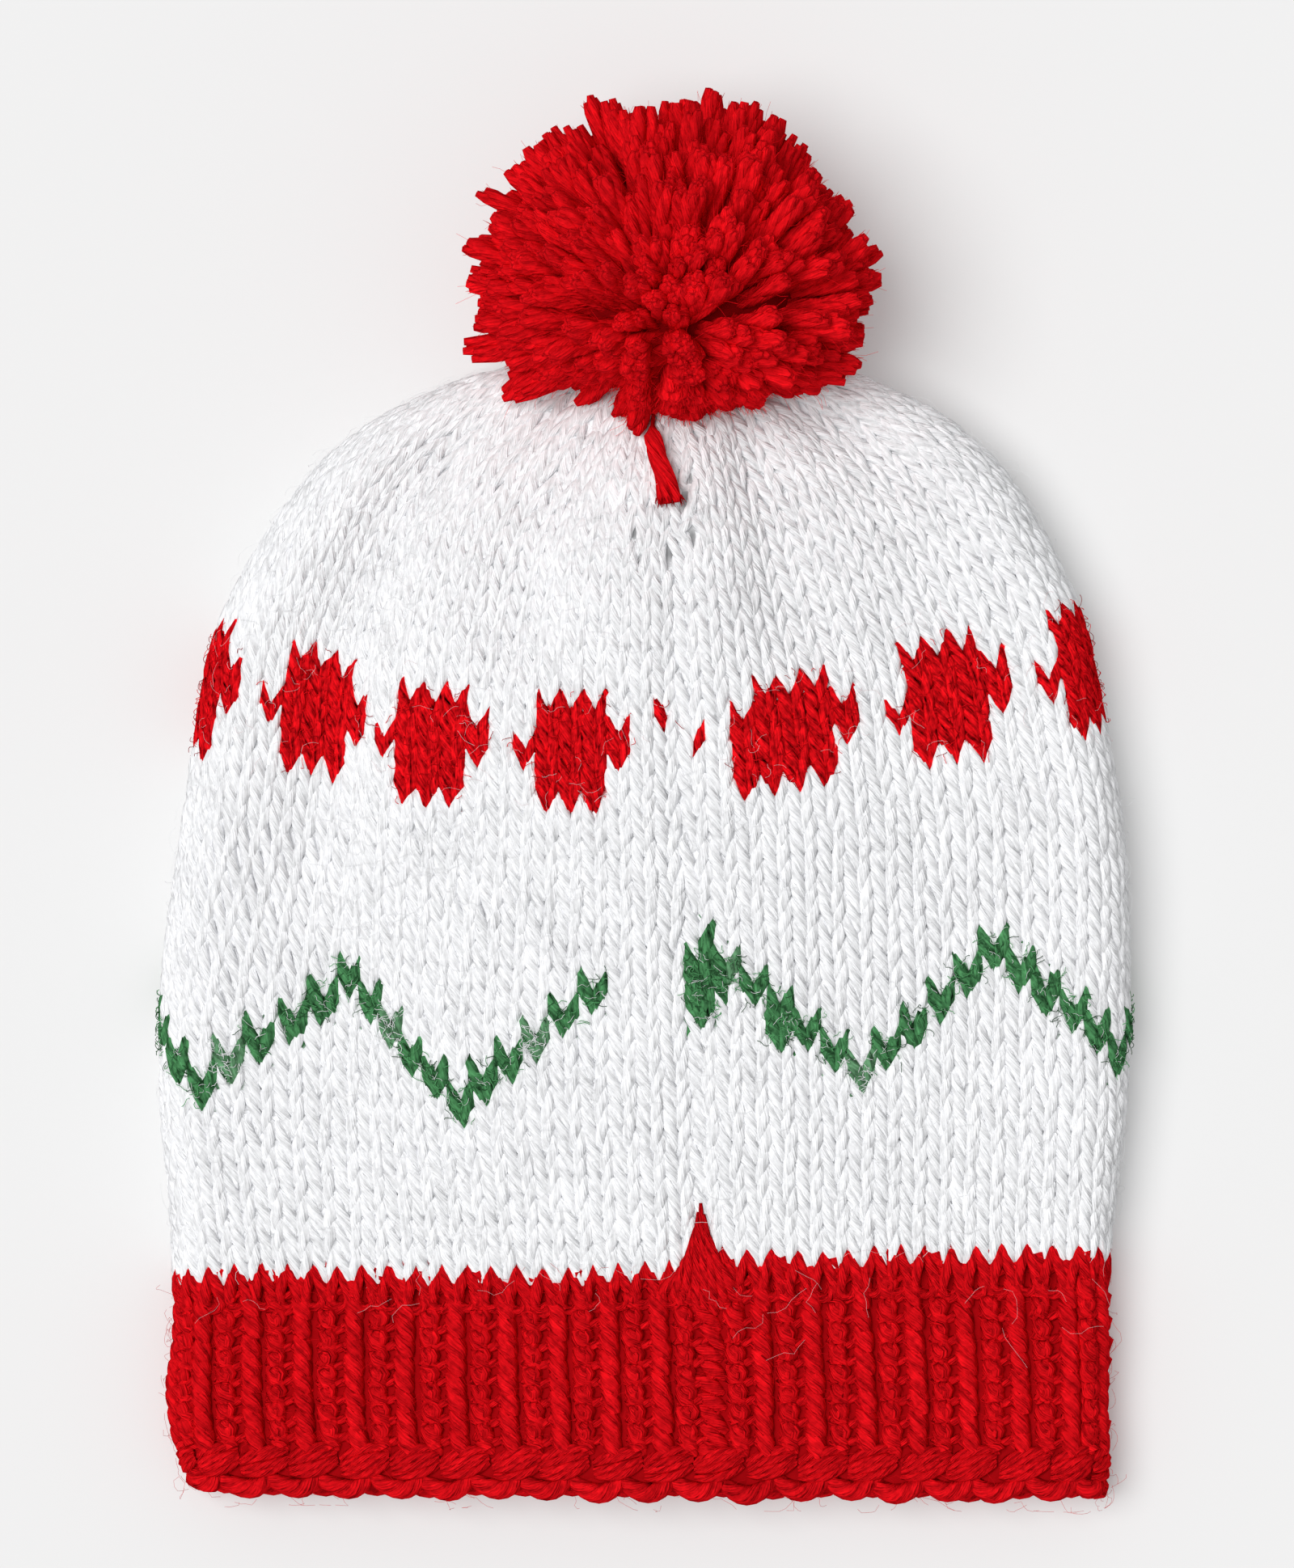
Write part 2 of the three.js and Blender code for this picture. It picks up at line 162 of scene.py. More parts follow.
# Reach of a gap, painted shade on the reverse in it, and the least distance counted from its middle
HOLE_REACH = 0.8
HOLE_PAINTED_SHADE = 0.75
HOLE_LEAST = 1e-6

# Columns that the photograph's view sees, counted from the seam, and the row where the pieces part
BACK_FIRST, BACK_LAST = -25, 20
BACK_COLUMNS, FRONT_COLUMNS = (BACK_FIRST, BACK_LAST), (BACK_LAST, BACK_FIRST + STITCHES_ROUND)
CROWN_PIECE_ROW = 20
# Points in one loop of yarn at the back and at the front
BACK_STEPS, FRONT_STEPS = 14, 6
# Pieces of the body's knitting: name, columns, rows, points in a loop, sides of the yarn, seed, and
# the solids that they stand for
BODY_PIECES = (
    ("body_stitches_low", BACK_COLUMNS, range(CROWN_PIECE_ROW), BACK_STEPS, 6, 21, ("knit_body",)),
    ("body_stitches_crown", BACK_COLUMNS, range(CROWN_PIECE_ROW, int(LAST_ROW) + 1), BACK_STEPS, 6, 23, ()),
    ("body_stitches_front", FRONT_COLUMNS, range(int(LAST_ROW) + 1), FRONT_STEPS, 4, 22, ()),
)
# Stitches left in the crown after each round of decreases: first row and stitches round
CROWN_ROUNDS = ((0, STITCHES_ROUND), (35, 60), (39, 42))

# Hand-knitted scatter of the loops: across in stitches, up in rows, lean, thickness and tone
SCATTER_ACROSS = 0.055
SCATTER_UP = 0.1
SCATTER_LEAN = 0.1
SCATTER_THICK = 0.06
STITCH_TONES = 0.025
# Beside the seam, reach in stitches and amount: rows more uneven, and a step in rows across it
SEAM_UNEVEN_REACH, SEAM_UNEVEN = 1.6, 1.2
SEAM_STEP_REACH, SEAM_STEP = 1.2, 0.35
# Width below which stitches have thinner yarn, and how strongly
FULL_PITCH, SLIM_POWER = 4.6 * MM, 0.65
# Thickness along a loop: its mean, and how far legs and heads differ from it
STITCH_THICK, LEG_THICKER = 0.93, 0.1
# How far the first row's feet go behind the red band, the band's top heads behind the first row, and
# other heads behind the next row
FIRST_ROW_TUCK = 1.4 * MM
BAND_HEAD_TUCK = 0.7 * MM
HEAD_TUCK = 0.5 * MM
# Share of a loop's height at which the tuck of a foot and of a head begins
FOOT_TUCK_FROM, HEAD_TUCK_FROM = 0.6, 0.75

# Chart of the pattern, in rows above the band and columns from the seam
WHITE_YARN, RED_YARN, GREEN_YARN, FADED_YARN = 0, 1, 2, 3
SEAM_JOG = 1
ZIGZAG_LOW_ROW = 7
ZIGZAG_STEPS = 5
ZIGZAG_RIGHT_PEAK = 1
ZIGZAG_LEFT_PEAK = -4
DOT_LOW_ROW = 21
DOT_ROWS = ((-1, 1), (-1, 1), (-2, 2), (-1, 2), (-1, 1))
DOT_REPEAT = 6
DOT_RIGHT_MIDDLE = 4
DOT_LEFT_MIDDLE = -5
SEAM_RED_HALVES = ((-2, 25), (1, 24), (4, 22), (5, 22), (4, 23), (5, 23), (4, 25), (5, 25))
SEAM_GREEN_HALVES = (
    (1, 14), (0, 13), (1, 13), (2, 13), (0, 12), (1, 12), (2, 12), (0, 11), (1, 11), (6, 10), (7, 10),
)
FADED_COLUMNS = (-18, -12, -6, 1, 6)
# How much white lies in a half covered green stitch, and how much thicker green yarn is
FADED_SHARE, GREEN_THICK = 0.05, 1.26

# Walls behind the stitches: places round the cap, in stitches
WALL_STITCHES = np.arange(0, STITCHES_ROUND, 0.5)
# Body's reverse: depth and rows of its outer side, rows of its inner side, and rows up to which it is red
REVERSE_DEPTH = 1.55 * MM
REVERSE_TOP = 41.5
REVERSE_STEP = 0.5
REVERSE_INNER_ROWS, REVERSE_INNER_TOP = 39, 39.5
RED_REVERSE_ROWS = 0.45
# Band's core: top, foot and count of its rows, depth of its outer and inner side, and painted shade,
# the darker red of the recesses behind the ribs
CORE_TOP = 0.3
CORE_FOOT = -10.4
CORE_ROWS = 12
CORE_OUTER = 2.6 * MM
CORE_INNER = 3.2 * MM
CORE_PAINTED_SHADE = 0.6

# Band: seed, red beside the dots' red, brighter as painted light against the ribs' own shade, scatter of
# its tone, its plain top row, and the step over points of the strands inside
BAND_SEED = 11
BAND_RED_PAINTED_LIGHT = 1.12
BAND_TONES = 0.05
BAND_TOP_ROW, INSIDE_STEP = -0.5, 2
# Rib rows: first row, rows from one to the next, count, and how many follow the fabric's lift
RIB_FIRST_ROW = -0.5
RIB_ROW_STEP = 0.92
RIB_ROWS = 9
RIB_LIFTED_ROWS = 3
# Thick leg of one rib, in units of two stitches: place, lean to the foot, and thickness
RIB_PLACE = 0.24
RIB_LEAN = 0.06
RIB_THICK = 1.36
# Its points, half its height in rows, how much thinner its ends are, and millimetres that its middle
# lies below the cap's outer form
RIB_POINTS = 7
RIB_REACH = 0.76
RIB_TAPER = 0.36
RIB_INSET = 0.25
# Millimetres that its head and foot go behind, and the share of its height where that begins
RIB_HEAD_BEHIND, RIB_HEAD_FROM = 2.4, 0.1
RIB_FOOT_BEHIND, RIB_FOOT_FROM = 0.4, 0.5
# Scatter of the legs: across in units, up in rows, and thickness
RIB_SCATTER_ACROSS = 0.014
RIB_SCATTER_UP = 0.07
RIB_SCATTER_THICK = 0.05
# Thin wavy strand beside it: place, swing to both sides, scatter across, and points in a row
WAVE_PLACE = 0.67
WAVE_SWING = 0.13
WAVE_SCATTER = 0.02
WAVE_POINTS = 8
# Rows that it starts above the first leg, its thickness, and the mean and swing of that along it
WAVE_RISE = 0.4
WAVE_THICK = 1.04
WAVE_SLIM = 0.72
WAVE_SWELL = 0.28
# Millimetres that it lies below the cap's outer form: mean and swing
WAVE_INSET, WAVE_DIP = 1.35, 1.05

# Short strands of the band: thickness and how much thinner their ends are, both beside the yarn, then
# millimetres that they lie below the cap's outer form and how much deeper their ends lie
PURL_BAR = (0.62, 0.186, 1.2, 0.9)
SEAM_BAR = (1.1, 0.4, 0.9, 1.2)
FAN_BAR = (0.72, 0.26, 0.2, 1.3)
HANG_BAR = (1.34, 0.55, 0.3, 1.3)
# Purl bumps in the ditches between the ribs: points, place and reach in units, part of a row that they
# lie below the leg, slant in rows, and scatter of row and tone
PURL_POINTS = 4
PURL_PLACE = 0.98
PURL_REACH = 0.13
PURL_DROP = 0.1
PURL_SLANT = 0.12
PURL_SCATTER = 0.06
PURL_TONES = 0.06
# Slanting strands down the band's seam: points, column, scatter and reach in stitches
BAND_SEAM_POINTS = 7
BAND_SEAM_COLUMN = 0.45
BAND_SEAM_SCATTER = 0.06
BAND_SEAM_REACH = 0.5
# First and last row, rows from one to the next, and mean and scatter of the slant
BAND_SEAM_TOP = -1.3
BAND_SEAM_FOOT = -8.7
BAND_SEAM_STEP = 0.8
BAND_SEAM_SLANT = (0.55, 0.15)
# Cast-on edge below each rib, a bundle of strands: points, place in units, reach in stitches, row
CAST_ON_POINTS = 9
FAN_PLACE = 0.36
FAN_REACH = 0.95
FAN_ROW = -8.95
# Rows between the bundle's strands, how far they close at the ends, their slant, how much deeper the
# outer ones lie, and scatter across and up
FAN_LEVELS = (-0.54, -0.18, 0.18, 0.54)
FAN_CLOSING = 0.4
FAN_SLANT = 0.26
FAN_DEEPER = 0.6
FAN_SCATTER_ACROSS, FAN_SCATTER_UP = 0.06, 0.05
# Cast-on edge below each ditch, a hanging loop: place, reach, row, rise of its ends, and scatter
HANG_PLACE = -0.1
HANG_REACH = 1.06
HANG_ROW = -10.38
HANG_RISE = 0.8
HANG_SCATTER_ACROSS, HANG_SCATTER_UP = 0.08, 0.06

# Red spike at the seam: foot of each strand in columns, and its height in rows
SEAM_PEAK = (
    (-1.7, 1.1), (-1.2, 1.9), (-0.75, 2.8), (-0.3, 3.5), (0.05, 3.9), (0.4, 3.4), (0.8, 2.6), (1.2, 1.6),
)
# Points of a strand, middle and row of the spike, how far and how late the strands close in
SEAM_PEAK_POINTS = 9
SEAM_PEAK_COLUMN = 0.25
SEAM_PEAK_ROW = -0.9
SEAM_PEAK_CLOSING, SEAM_PEAK_CURVE = 0.7, 1.7
# Thickness beside the band's yarn, how much of it is gone at the tip, and depth in radii
SEAM_PEAK_THICK = 0.9
SEAM_PEAK_TAPER = 0.68
SEAM_PEAK_SINK = 0.25
# Tail below the spike beside its height, how deep it goes, and the share of the strand where it ends
SEAM_PEAK_TAIL = 0.32
SEAM_PEAK_TAIL_DEPTH = 2.6 * MM
SEAM_PEAK_TAIL_END = 0.45

# How far the twist is shifted from one strand to the next, by its points, and the length it repeats in
TWIST_SHIFT, TWIST_REPEAT = 1.7 * MM, 0.4
# Yarn materials: plies, length of one turn, contrast of the painted ply shade and streaks in pale and in
# strong dyes, and bump
YARNS = {
    "body_yarn": (3, 4.5 * MM, 0.26, 2.3, 0.65),
    "band_yarn": (3, 3.8 * MM, 0.2, 1.2, 1.3),
    "pompom_yarn": (3, 7 * MM, 0.2, 0.9, 1.0),
}
# Roughness of each finish
YARN_ROUGHNESS = 0.9
FIBRE_ROUGHNESS = 0.7
WALL_ROUGHNESS = 0.95
FLOOR_ROUGHNESS = 0.9
# Height of the bump in yarn
YARN_BUMP = 0.35 * MM
# Plies: how blunt their tops are, threads in one, and how the threads stand out beside it
PLY_BLUNT = 0.6
THREADS_IN_PLY = 4
THREAD_HEIGHT = 0.3
# Fibre streaks and mottled patches: steps of their noise round and along the yarn, scale and detail
STREAK_ROUND = 0.9
STREAK_ALONG = 420.0
STREAK_SCALE = 0.85
STREAK_DETAIL = 3.0
PATCH_ALONG = 600.0
PATCH_SCALE = 1.5
PATCH_DETAIL = 2.0
# Height of the streaks, painted shade in a groove between plies and the painted light that the plies'
# crests add to it, tone of streaks and patches
STREAK_HEIGHT = 1.6
GROOVE_PAINTED_SHADE = 0.68
PLY_PAINTED_SHADE = 0.34
STREAK_SHADE = 1.2
PATCH_SHADE = 0.8
# Mean of the noise, taken off so that it goes both ways
NOISE_MIDDLE = 0.5
# Pebbles on the reverse: how many in a metre, and strength and height of their bump
PEBBLE_SCALE = 260.0
PEBBLE_BUMP = 0.8
PEBBLE_HEIGHT = 1.0 * MM

# Pompom in the section table's millimetres: middle of its outline, its tie, and its reach to the
# sides, away from the crown, towards it and up
POMPOM_CENTRE, POMPOM_TIE = (4.9, 226, 30.5), (4.9, 219, 27)
POMPOM_REACH = (38.0, 37.0, 22.5, 32.0)
# Pompom's red beside the dots' red: the same yarn made brighter, painted light against the shade among the
# cut ends
POMPOM_RED_PAINTED_LIGHT = 1.25
# Search for the outline: farthest place from the tie, in millimetres, and halvings
OUTLINE_FAR, OUTLINE_HALVINGS = 90.0, 24
# Dense head: points in a ring, rings, angle left at the poles, height over the floor, and painted shade,
# the dark red of the shade deep among the cut ends
HEAD_COLUMNS = 48
HEAD_RINGS = 26
HEAD_POLE = 0.06
HEAD_FLOOR = 2 * MM
HEAD_PAINTED_SHADE = 0.4
# Cleft that faces the crown: place across, upper end, length it fades in, width and push
CLEFT_X = 1.8
CLEFT_TOP = 222.0
CLEFT_FADE = 6.0
CLEFT_WIDTH = 3.0
CLEFT_PUSH = 2.0
# Where the lower left edge leaves the crown bare
NOTCH_LEFT = -22.0
NOTCH_RIGHT = -3.0
NOTCH_FLOOR = 210.0
# Heights of the crown that yarn lies on: first row, cell, marks for a cell without crown, and how
# much of a strand's radius has to fit over the floor
CROWN_ROW = 20
CROWN_CELL = 1.5 * MM
NO_TOP = -1.0
NO_UNDER = 1.0
CROWN_FIT = 0.9

# One cut end from root to tip: share of its length, radius of a ply and how far the plies stand
# apart, both beside the yarn's radius, and painted shade, darker towards the root deep in the pompom
STRAND_PROFILE = np.array((
    (0.12, 0.62, 0.3, 0.72),
    (0.34, 0.64, 0.32, 0.8),
    (0.54, 0.66, 0.34, 0.88),
    (0.72, 0.68, 0.36, 0.94),
    (0.86, 0.7, 0.37, 1.0),
    (0.955, 0.64, 0.42, 1.0),
    (1.0, 0.34, 0.47, 1.0),
))
# Plies of a cut end, how far they turn from root to tip, in radians, and scatter of its bend
STRAND_PLIES = 3
STRAND_TWIST = 5.0
STRAND_BEND = 0.1
# Mean and scatter of a cut end's length beside the outline, its longest, and millimetres its root rises
STRAND_LENGTH = (0.935, 0.05)
STRAND_LONGEST = 1.05
ROOT_RISE = 14.0
# Scatter of a cut end's direction, thickness and tone, of its plies' tones, and of their ends in millimetres
STRAND_SCATTER = 0.05
STRAND_SCATTER_THICK = 0.09
STRAND_TONES = 0.07
PLY_TONES = 0.05
PLY_STAGGER = 0.5
# Clumps: cut ends in one, scatter of its direction, and how far the ends lean to it
CLUMP_STRANDS = 4
CLUMP_SCATTER = 0.08
CLUMP_PULL = 0.16
# Strands that hang out over the crown: root and tip, in the section table's millimetres
HANGING_STRANDS = (
    ((-14, 214, 38), (-26.3, 207.4, 20)),
    ((-4, 213, 38), (-12.2, 206.4, 20)),
    ((1, 212, 38), (-5.4, 204.1, 20)),
    ((1, 210, 38), (-2.7, 200.5, 20)),
)
# Tufts that stand out of the outline: tip across, along and up, in the section table's millimetres
TUFTS = (
    (-33.9, 230.5, 32),
    (-32.1, 224.5, 36),
    (-34.2, 215.3, 30),
    (-27.5, 206.0, 30),
    (43.9, 224.5, 32),
    (41.8, 217.2, 34),
    (39.6, 210.9, 28),
    (-6.6, 264.7, 32),
    (-20.1, 258.3, 30),
    (-14.6, 258.3, 36),
    (28.2, 256.6, 34),
    (31.2, 253.8, 30),
)
# Strands in a tuft, their spread in millimetres, and where they start and end between tie and tip
TUFT_STRANDS = 2
TUFT_SPREAD = 0.8
TUFT_ROOT = 0.3
TUFT_REACH = 0.93

# Fibres at the tip and along the side of a cut end, and of one that stands out by itself
TIP_HAIRS = 5
SIDE_HAIRS = 4
LONE_TIP_HAIRS = 8
LONE_SIDE_HAIRS = 6
# Least height of such a fibre over the floor
HAIR_FLOOR = 0.3 * MM
# Tip fibres, in the strand's radii: place of the root, length and spread; and radius from root to tip
TIP_ROOT = (0.3, 0.85)
TIP_LENGTH = (0.5, 1.15)
TIP_SPREAD = (0.0, 0.4)
TIP_RADIUS = np.array((0.13, 0.1, 0.03)) * MM
# Side fibres: first point of the strand, radius, and painted light that makes them lighter than their strand;
# in the strand's radii their root and how far the first and second half go out and along
SIDE_FIRST = 3
SIDE_RADIUS = 0.035 * MM
SIDE_PAINTED_LIGHT = 1.2
SIDE_ROOT = 0.9
SIDE_STEPS = (((0.2, 0.7), (0.2, 1.0)), ((0.0, 0.9), (0.1, 1.0)))

# The tie yarn's end: stitch and row that it passes, points, seed, plies and scatter of their tones
TIE_PATH = ((-1.9, 40.6), (-1.6, 39.2), (-1.1, 37.7), (-0.5, 36.2), (-0.2, 35.1))
TIE_POINTS = 16
TIE_SEED = 3
TIE_PLIES = 5
TIE_TONES = 0.06
# Millimetres that its plies stand apart at the root, past the neck and at the tip; and its lift
TIE_APART = 0.15
TIE_APART_BODY = 0.75
TIE_APART_TIP = 0.6
TIE_LIFT = 0.4 * MM
# Radius of a ply in millimetres: at the root, added past the neck, and added towards the tip
TIE_RADIUS = 0.22
TIE_RADIUS_BODY = 0.6
TIE_RADIUS_TIP = 0.2
# Shares of its length: the neck below the pompom, where the tip opens, and where the ends round off
TIE_NECK = (0.2, 0.36)
TIE_OPENS = 0.55
TIE_ROUNDS = 0.97
# Radius of the rounded ends, twist and how much it loosens, and how flat it lies
TIE_END_THICK = 0.6
TIE_TWIST = 9.0
TIE_LOOSER = 0.45
TIE_FLAT = 0.7
# Fibres at the tip of each ply, and the radius they spread over
TIE_HAIRS, TIE_HAIR_REACH = 7, 1.8 * MM

# Loose fibres: seed, points, turn between points, metres in one stitch or row, and range of the arc
FIBRE_SEED = 77
FIBRE_POINTS = 6
FIBRE_CURL = 0.55
FIBRE_GAUGE = 4.5 * MM
FIBRE_ARC = (0.55, 1.0)
# Depth of the ends in the fabric, and height over the floor
FIBRE_ROOT, FIBRE_FLOOR = 0.2 * MM, 0.2 * MM
# Millimetres of length, at least and at most: over plain fabric, the band's edge, a stitch and a dot
PLAIN_LENGTH = (4, 9)
EDGE_LENGTH = (5, 11)
STITCH_LENGTH = (1.5, 3)
DOT_LENGTH = (2, 6)
# Lift from the fabric: shape and millimetres of its spread on body and band, then the fixed ones
WHITE_LIFT, RED_LIFT = (2.0, 0.45), (2.0, 0.5)
EDGE_LIFT = 0.6 * MM
STITCH_LIFT = 0.75 * MM
DOT_LIFT = 0.5 * MM
# Rows: of the white and of the red, and mean and scatter at the band's edge
WHITE_ROWS = (1, LAST_ROW - 4)
RED_ROWS = (EDGE_ROW, -0.5)
EDGE_ROWS = (-0.9, 0.8)
# One red fibre and one at the edge for so many white ones, and the red beside the dots' red
RED_PART = 3
EDGE_PART = 50
RED_FIBRE_BRIGHTER = 1.1
# Thickness of the fibres at the edge and the dots, and how much red is in them
HAZE_THICK, HAZE_RED = 0.75, 0.4
# Loose fibres over one stitch of a colour: how many, and how thick beside the others
WHITE_OVER_GREEN = (6, 1.25)
WHITE_OVER_FADED = (40, 1.8)
TONES_OVER_GREEN = (9, 2.4)
TONES_OVER_RED = (2, 2.2)
# Part of the stitch's height that they start in, and their shades beside their yarn
STITCH_SPAN = (-0.2, 1.2)
FIBRE_TONES = (0.45, 1.9)
RED_FIBRE_TONES = (0.6, 1.35)
# Dots seen left and right of the seam, middle of a dot in columns and rows, rings of fibres round it
# with their scatter, and every so many a pale fibre with its shade
DOTS_LEFT = 4
DOTS_RIGHT = 3
DOT_MIDDLE = (0.5, 2.5)
DOT_RINGS = (2.9, 2.0)
DOT_RING_SCATTER = 0.3
DOT_PALE_EVERY = 3
DOT_PALE_SHADE = 0.8

# Sides of the yarn: the band's, a cut end's plies, the tie end's plies and a loose fibre's
BAND_SIDES = 6
STRAND_SIDES = 5
TIE_SIDES = 6
FIBRE_SIDES = 3

# Half the floor's side
FLOOR_REACH = 3.0


class KnitSizes(bpy.types.PropertyGroup):
    """Yarn and stitch sizes of the body and band"""

    yarn_radius: bpy.props.FloatProperty(
        name="Yarn radius", description="Radius of the body's yarn", default=1.17 * MM,
        subtype="DISTANCE", unit="LENGTH")
    loop_lean: bpy.props.FloatProperty(
        name="Loop lean", description="How far a loop's legs open upwards, in stitches", default=0.275)
    loop_height: bpy.props.FloatProperty(
        name="Loop height", description="Half the height of a loop, in rows", default=1.16)
    loop_depth: bpy.props.FloatProperty(
        name="Loop depth", description="How far legs stand in front of heads", default=0.55 * MM,
        subtype="DISTANCE", unit="LENGTH")
    unevenness: bpy.props.FloatProperty(
        name="Unevenness", description="Hand-knitted scatter of the stitches", default=1.0,
        subtype="FACTOR")
    wall: bpy.props.FloatProperty(
        name="Body wall", description="Thickness of the body's wall", default=3.6 * MM,
        subtype="DISTANCE", unit="LENGTH")
    band_wall: bpy.props.FloatProperty(
        name="Band wall", description="Thickness of the band's wall", default=5.0 * MM,
        subtype="DISTANCE", unit="LENGTH")
    band_yarn_radius: bpy.props.FloatProperty(
        name="Band yarn radius", description="Radius of the band's yarn", default=1.45 * MM,
        subtype="DISTANCE", unit="LENGTH")
    fibres: bpy.props.IntProperty(
        name="Loose fibres", description="Loose fibres over the back of the body", default=1500)
    dot_fibres: bpy.props.IntProperty(
        name="Dot fibres", description="Loose fibres over each dot", default=26)
    fibre_radius: bpy.props.FloatProperty(
        name="Fibre radius", description="Radius of a loose fibre", default=0.033 * MM,
        subtype="DISTANCE", unit="LENGTH")


class PompomSizes(bpy.types.PropertyGroup):
    """Strands of the pompom"""

    strands: bpy.props.IntProperty(
        name="Strands", description="Cut ends of yarn on the pompom", default=940)
    strand_radius: bpy.props.FloatProperty(
        name="Strand radius", description="Radius of one cut end", default=2.15 * MM,
        subtype="DISTANCE", unit="LENGTH")
    head_share: bpy.props.FloatProperty(
        name="Head share", description="Size of the dense head beside the whole pompom", default=0.66,
        subtype="FACTOR")
    seed: bpy.props.IntProperty(name="Seed", description="Seed of the scatter", default=5)


class YarnColours(bpy.types.PropertyGroup):
    """Dyes of the yarns"""

    white: bpy.props.FloatVectorProperty(
        name="White", description="Body yarn", default=(0.882, 0.887, 0.902), subtype="COLOR", size=3)
    red: bpy.props.FloatVectorProperty(
        name="Red", description="Band, dot and pompom yarn", default=(0.595, 0.0048, 0.0085),
        subtype="COLOR", size=3)
    green: bpy.props.FloatVectorProperty(
        name="Green", description="Zigzag yarn", default=(0.056, 0.19, 0.074), subtype="COLOR", size=3)
    floor: bpy.props.FloatVectorProperty(
        name="Floor", description="Pale floor", default=(0.65, 0.65, 0.65), subtype="COLOR", size=3)


class StageSizes(bpy.types.PropertyGroup):
    """Camera and light"""

    camera_height: bpy.props.FloatProperty(
        name="Camera height", description="Height of the camera above the floor", default=1.4,
        subtype="DISTANCE", unit="LENGTH")
    frame_height: bpy.props.FloatProperty(
        name="Frame height", description="Length of floor from the picture's top to its bottom",
        default=0.296, subtype="DISTANCE", unit="LENGTH")
    middle_y: bpy.props.FloatProperty(
        name="Middle", description="Distance of the picture's middle from the cap's lower edge",
        default=0.1352, subtype="DISTANCE", unit="LENGTH")
    key: bpy.props.FloatProperty(
        name="Key light", description="Strength of the soft key light", default=2.35)
    key_softness: bpy.props.FloatProperty(
        name="Key softness", description="Angle that the key light fills", default=math.radians(40),
        subtype="ANGLE", unit="ROTATION")
    key_lean: bpy.props.FloatProperty(
        name="Key lean", description="How far the key light leans from straight above",
        default=math.radians(22), subtype="ANGLE", unit="ROTATION")
    key_turn: bpy.props.FloatProperty(
        name="Key turn", description="How far the key light is turned from the left towards the bottom",
        default=math.radians(-10), subtype="ANGLE", unit="ROTATION")
    fill: bpy.props.FloatProperty(
        name="Fill light", description="Strength of the light from all round", default=0.39)
    floor_glow: bpy.props.FloatProperty(
        name="Floor glow", description="Light that the floor gives off itself, as a light table does",
        default=0.18)


def smoothstep(value, low, high):
    """Soft ramp from 0 at low to 1 at high."""
    share = np.clip((value - low) / (high - low), 0, 1)
    return share * share * (3 - 2 * share)


def section_values(row):
    """Every column of the section table at one row, by name."""
    rows = SECTIONS[:, 0]
    last = len(rows) - 2
    index = int(np.clip(np.searchsorted(rows, row, side="right") - 1, 0, last))
    here, after = SECTIONS[index], SECTIONS[index + 1]
    before = SECTIONS[max(index - 1, 0)]
    beyond = SECTIONS[min(index + 2, len(rows) - 1)]
    span = after[0] - here[0]
    slope_here = (after - before) / (after[0] - before[0]) * span
    slope_after = (beyond - here) / (beyond[0] - here[0]) * span
    t = (row - here[0]) / span
    rest = 1 - t
    values = here + (after - here) * t * t * (3 - 2 * t) + t * rest * (slope_here * rest - slope_after * t)
    return dict(zip(SECTION_COLUMNS, values))


def section_loop(row):
    """One row of the cap as a closed loop of points, and the length along it to the seam."""
    s = section_values(row)
    radius = s["edge"] / 2
    flat = s["half"] - radius
    dome = s["mid"] - s["base"] - s["edge"]
    share = np.arange(LOOP_POINTS) / LOOP_POINTS
    sweep = 2 * share - 1
    turn_right = math.pi / 2 - math.pi * share
    turn_left = -math.pi / 2 - math.pi * share
    x = np.concatenate((flat * sweep, flat + radius * np.cos(turn_right), -flat * sweep,
                        -flat + radius * np.cos(turn_left), (-flat,)))
    z = np.concatenate((s["edge"] + dome * (0.5 + 0.5 * np.cos(math.pi * sweep)),
                        radius + radius * np.sin(turn_right), np.zeros(LOOP_POINTS),
                        radius + radius * np.sin(turn_left), (s["edge"],)))
    out = x / s["half"]
    y = s["y"] + s["rise"] * out * out + s["tilt"] * out / 2
    points = np.column_stack((x + s["shift"], y, z + s["base"]))
    lengths = np.concatenate(((0.0,), np.cumsum(np.linalg.norm(np.diff(points, axis=0), axis=1))))
    seam_x = np.interp(row, SEAM_COURSE[:, 0], SEAM_COURSE[:, 1])
    seam_length = np.interp(seam_x, points[:LOOP_POINTS, 0], lengths[:LOOP_POINTS])
    return points, lengths, seam_length


def stitch_distance(a, b):
    """Distance round the cap from stitch b to stitch a."""
    half = STITCHES_ROUND / 2
    return np.mod(a - b + half, STITCHES_ROUND) - half


def body_relief(stitch, row):
    """Seam, folds and gathers of the body, drawn inwards, in millimetres."""
    relief = -SEAM_DEPTH * np.exp(-(stitch_distance(stitch, 0) / SEAM_WIDTH) ** 2) * (row > 0)
    for middle, width, depth, first, last in FOLDS:
        rising = smoothstep(row, first, first + FOLD_FADE_ROWS)
        falling = 1 - smoothstep(row, last - FOLD_FADE_ROWS, last)
        relief = relief - depth * rising * falling * np.exp(-(stitch_distance(stitch, middle) / width) ** 2)
    wave = 0.5 - 0.5 * np.cos(2 * math.pi * GATHERS * stitch / STITCHES_ROUND)
    return relief - GATHER_DEPTH * smoothstep(row, GATHER_FIRST_ROW, LAST_ROW) * wave


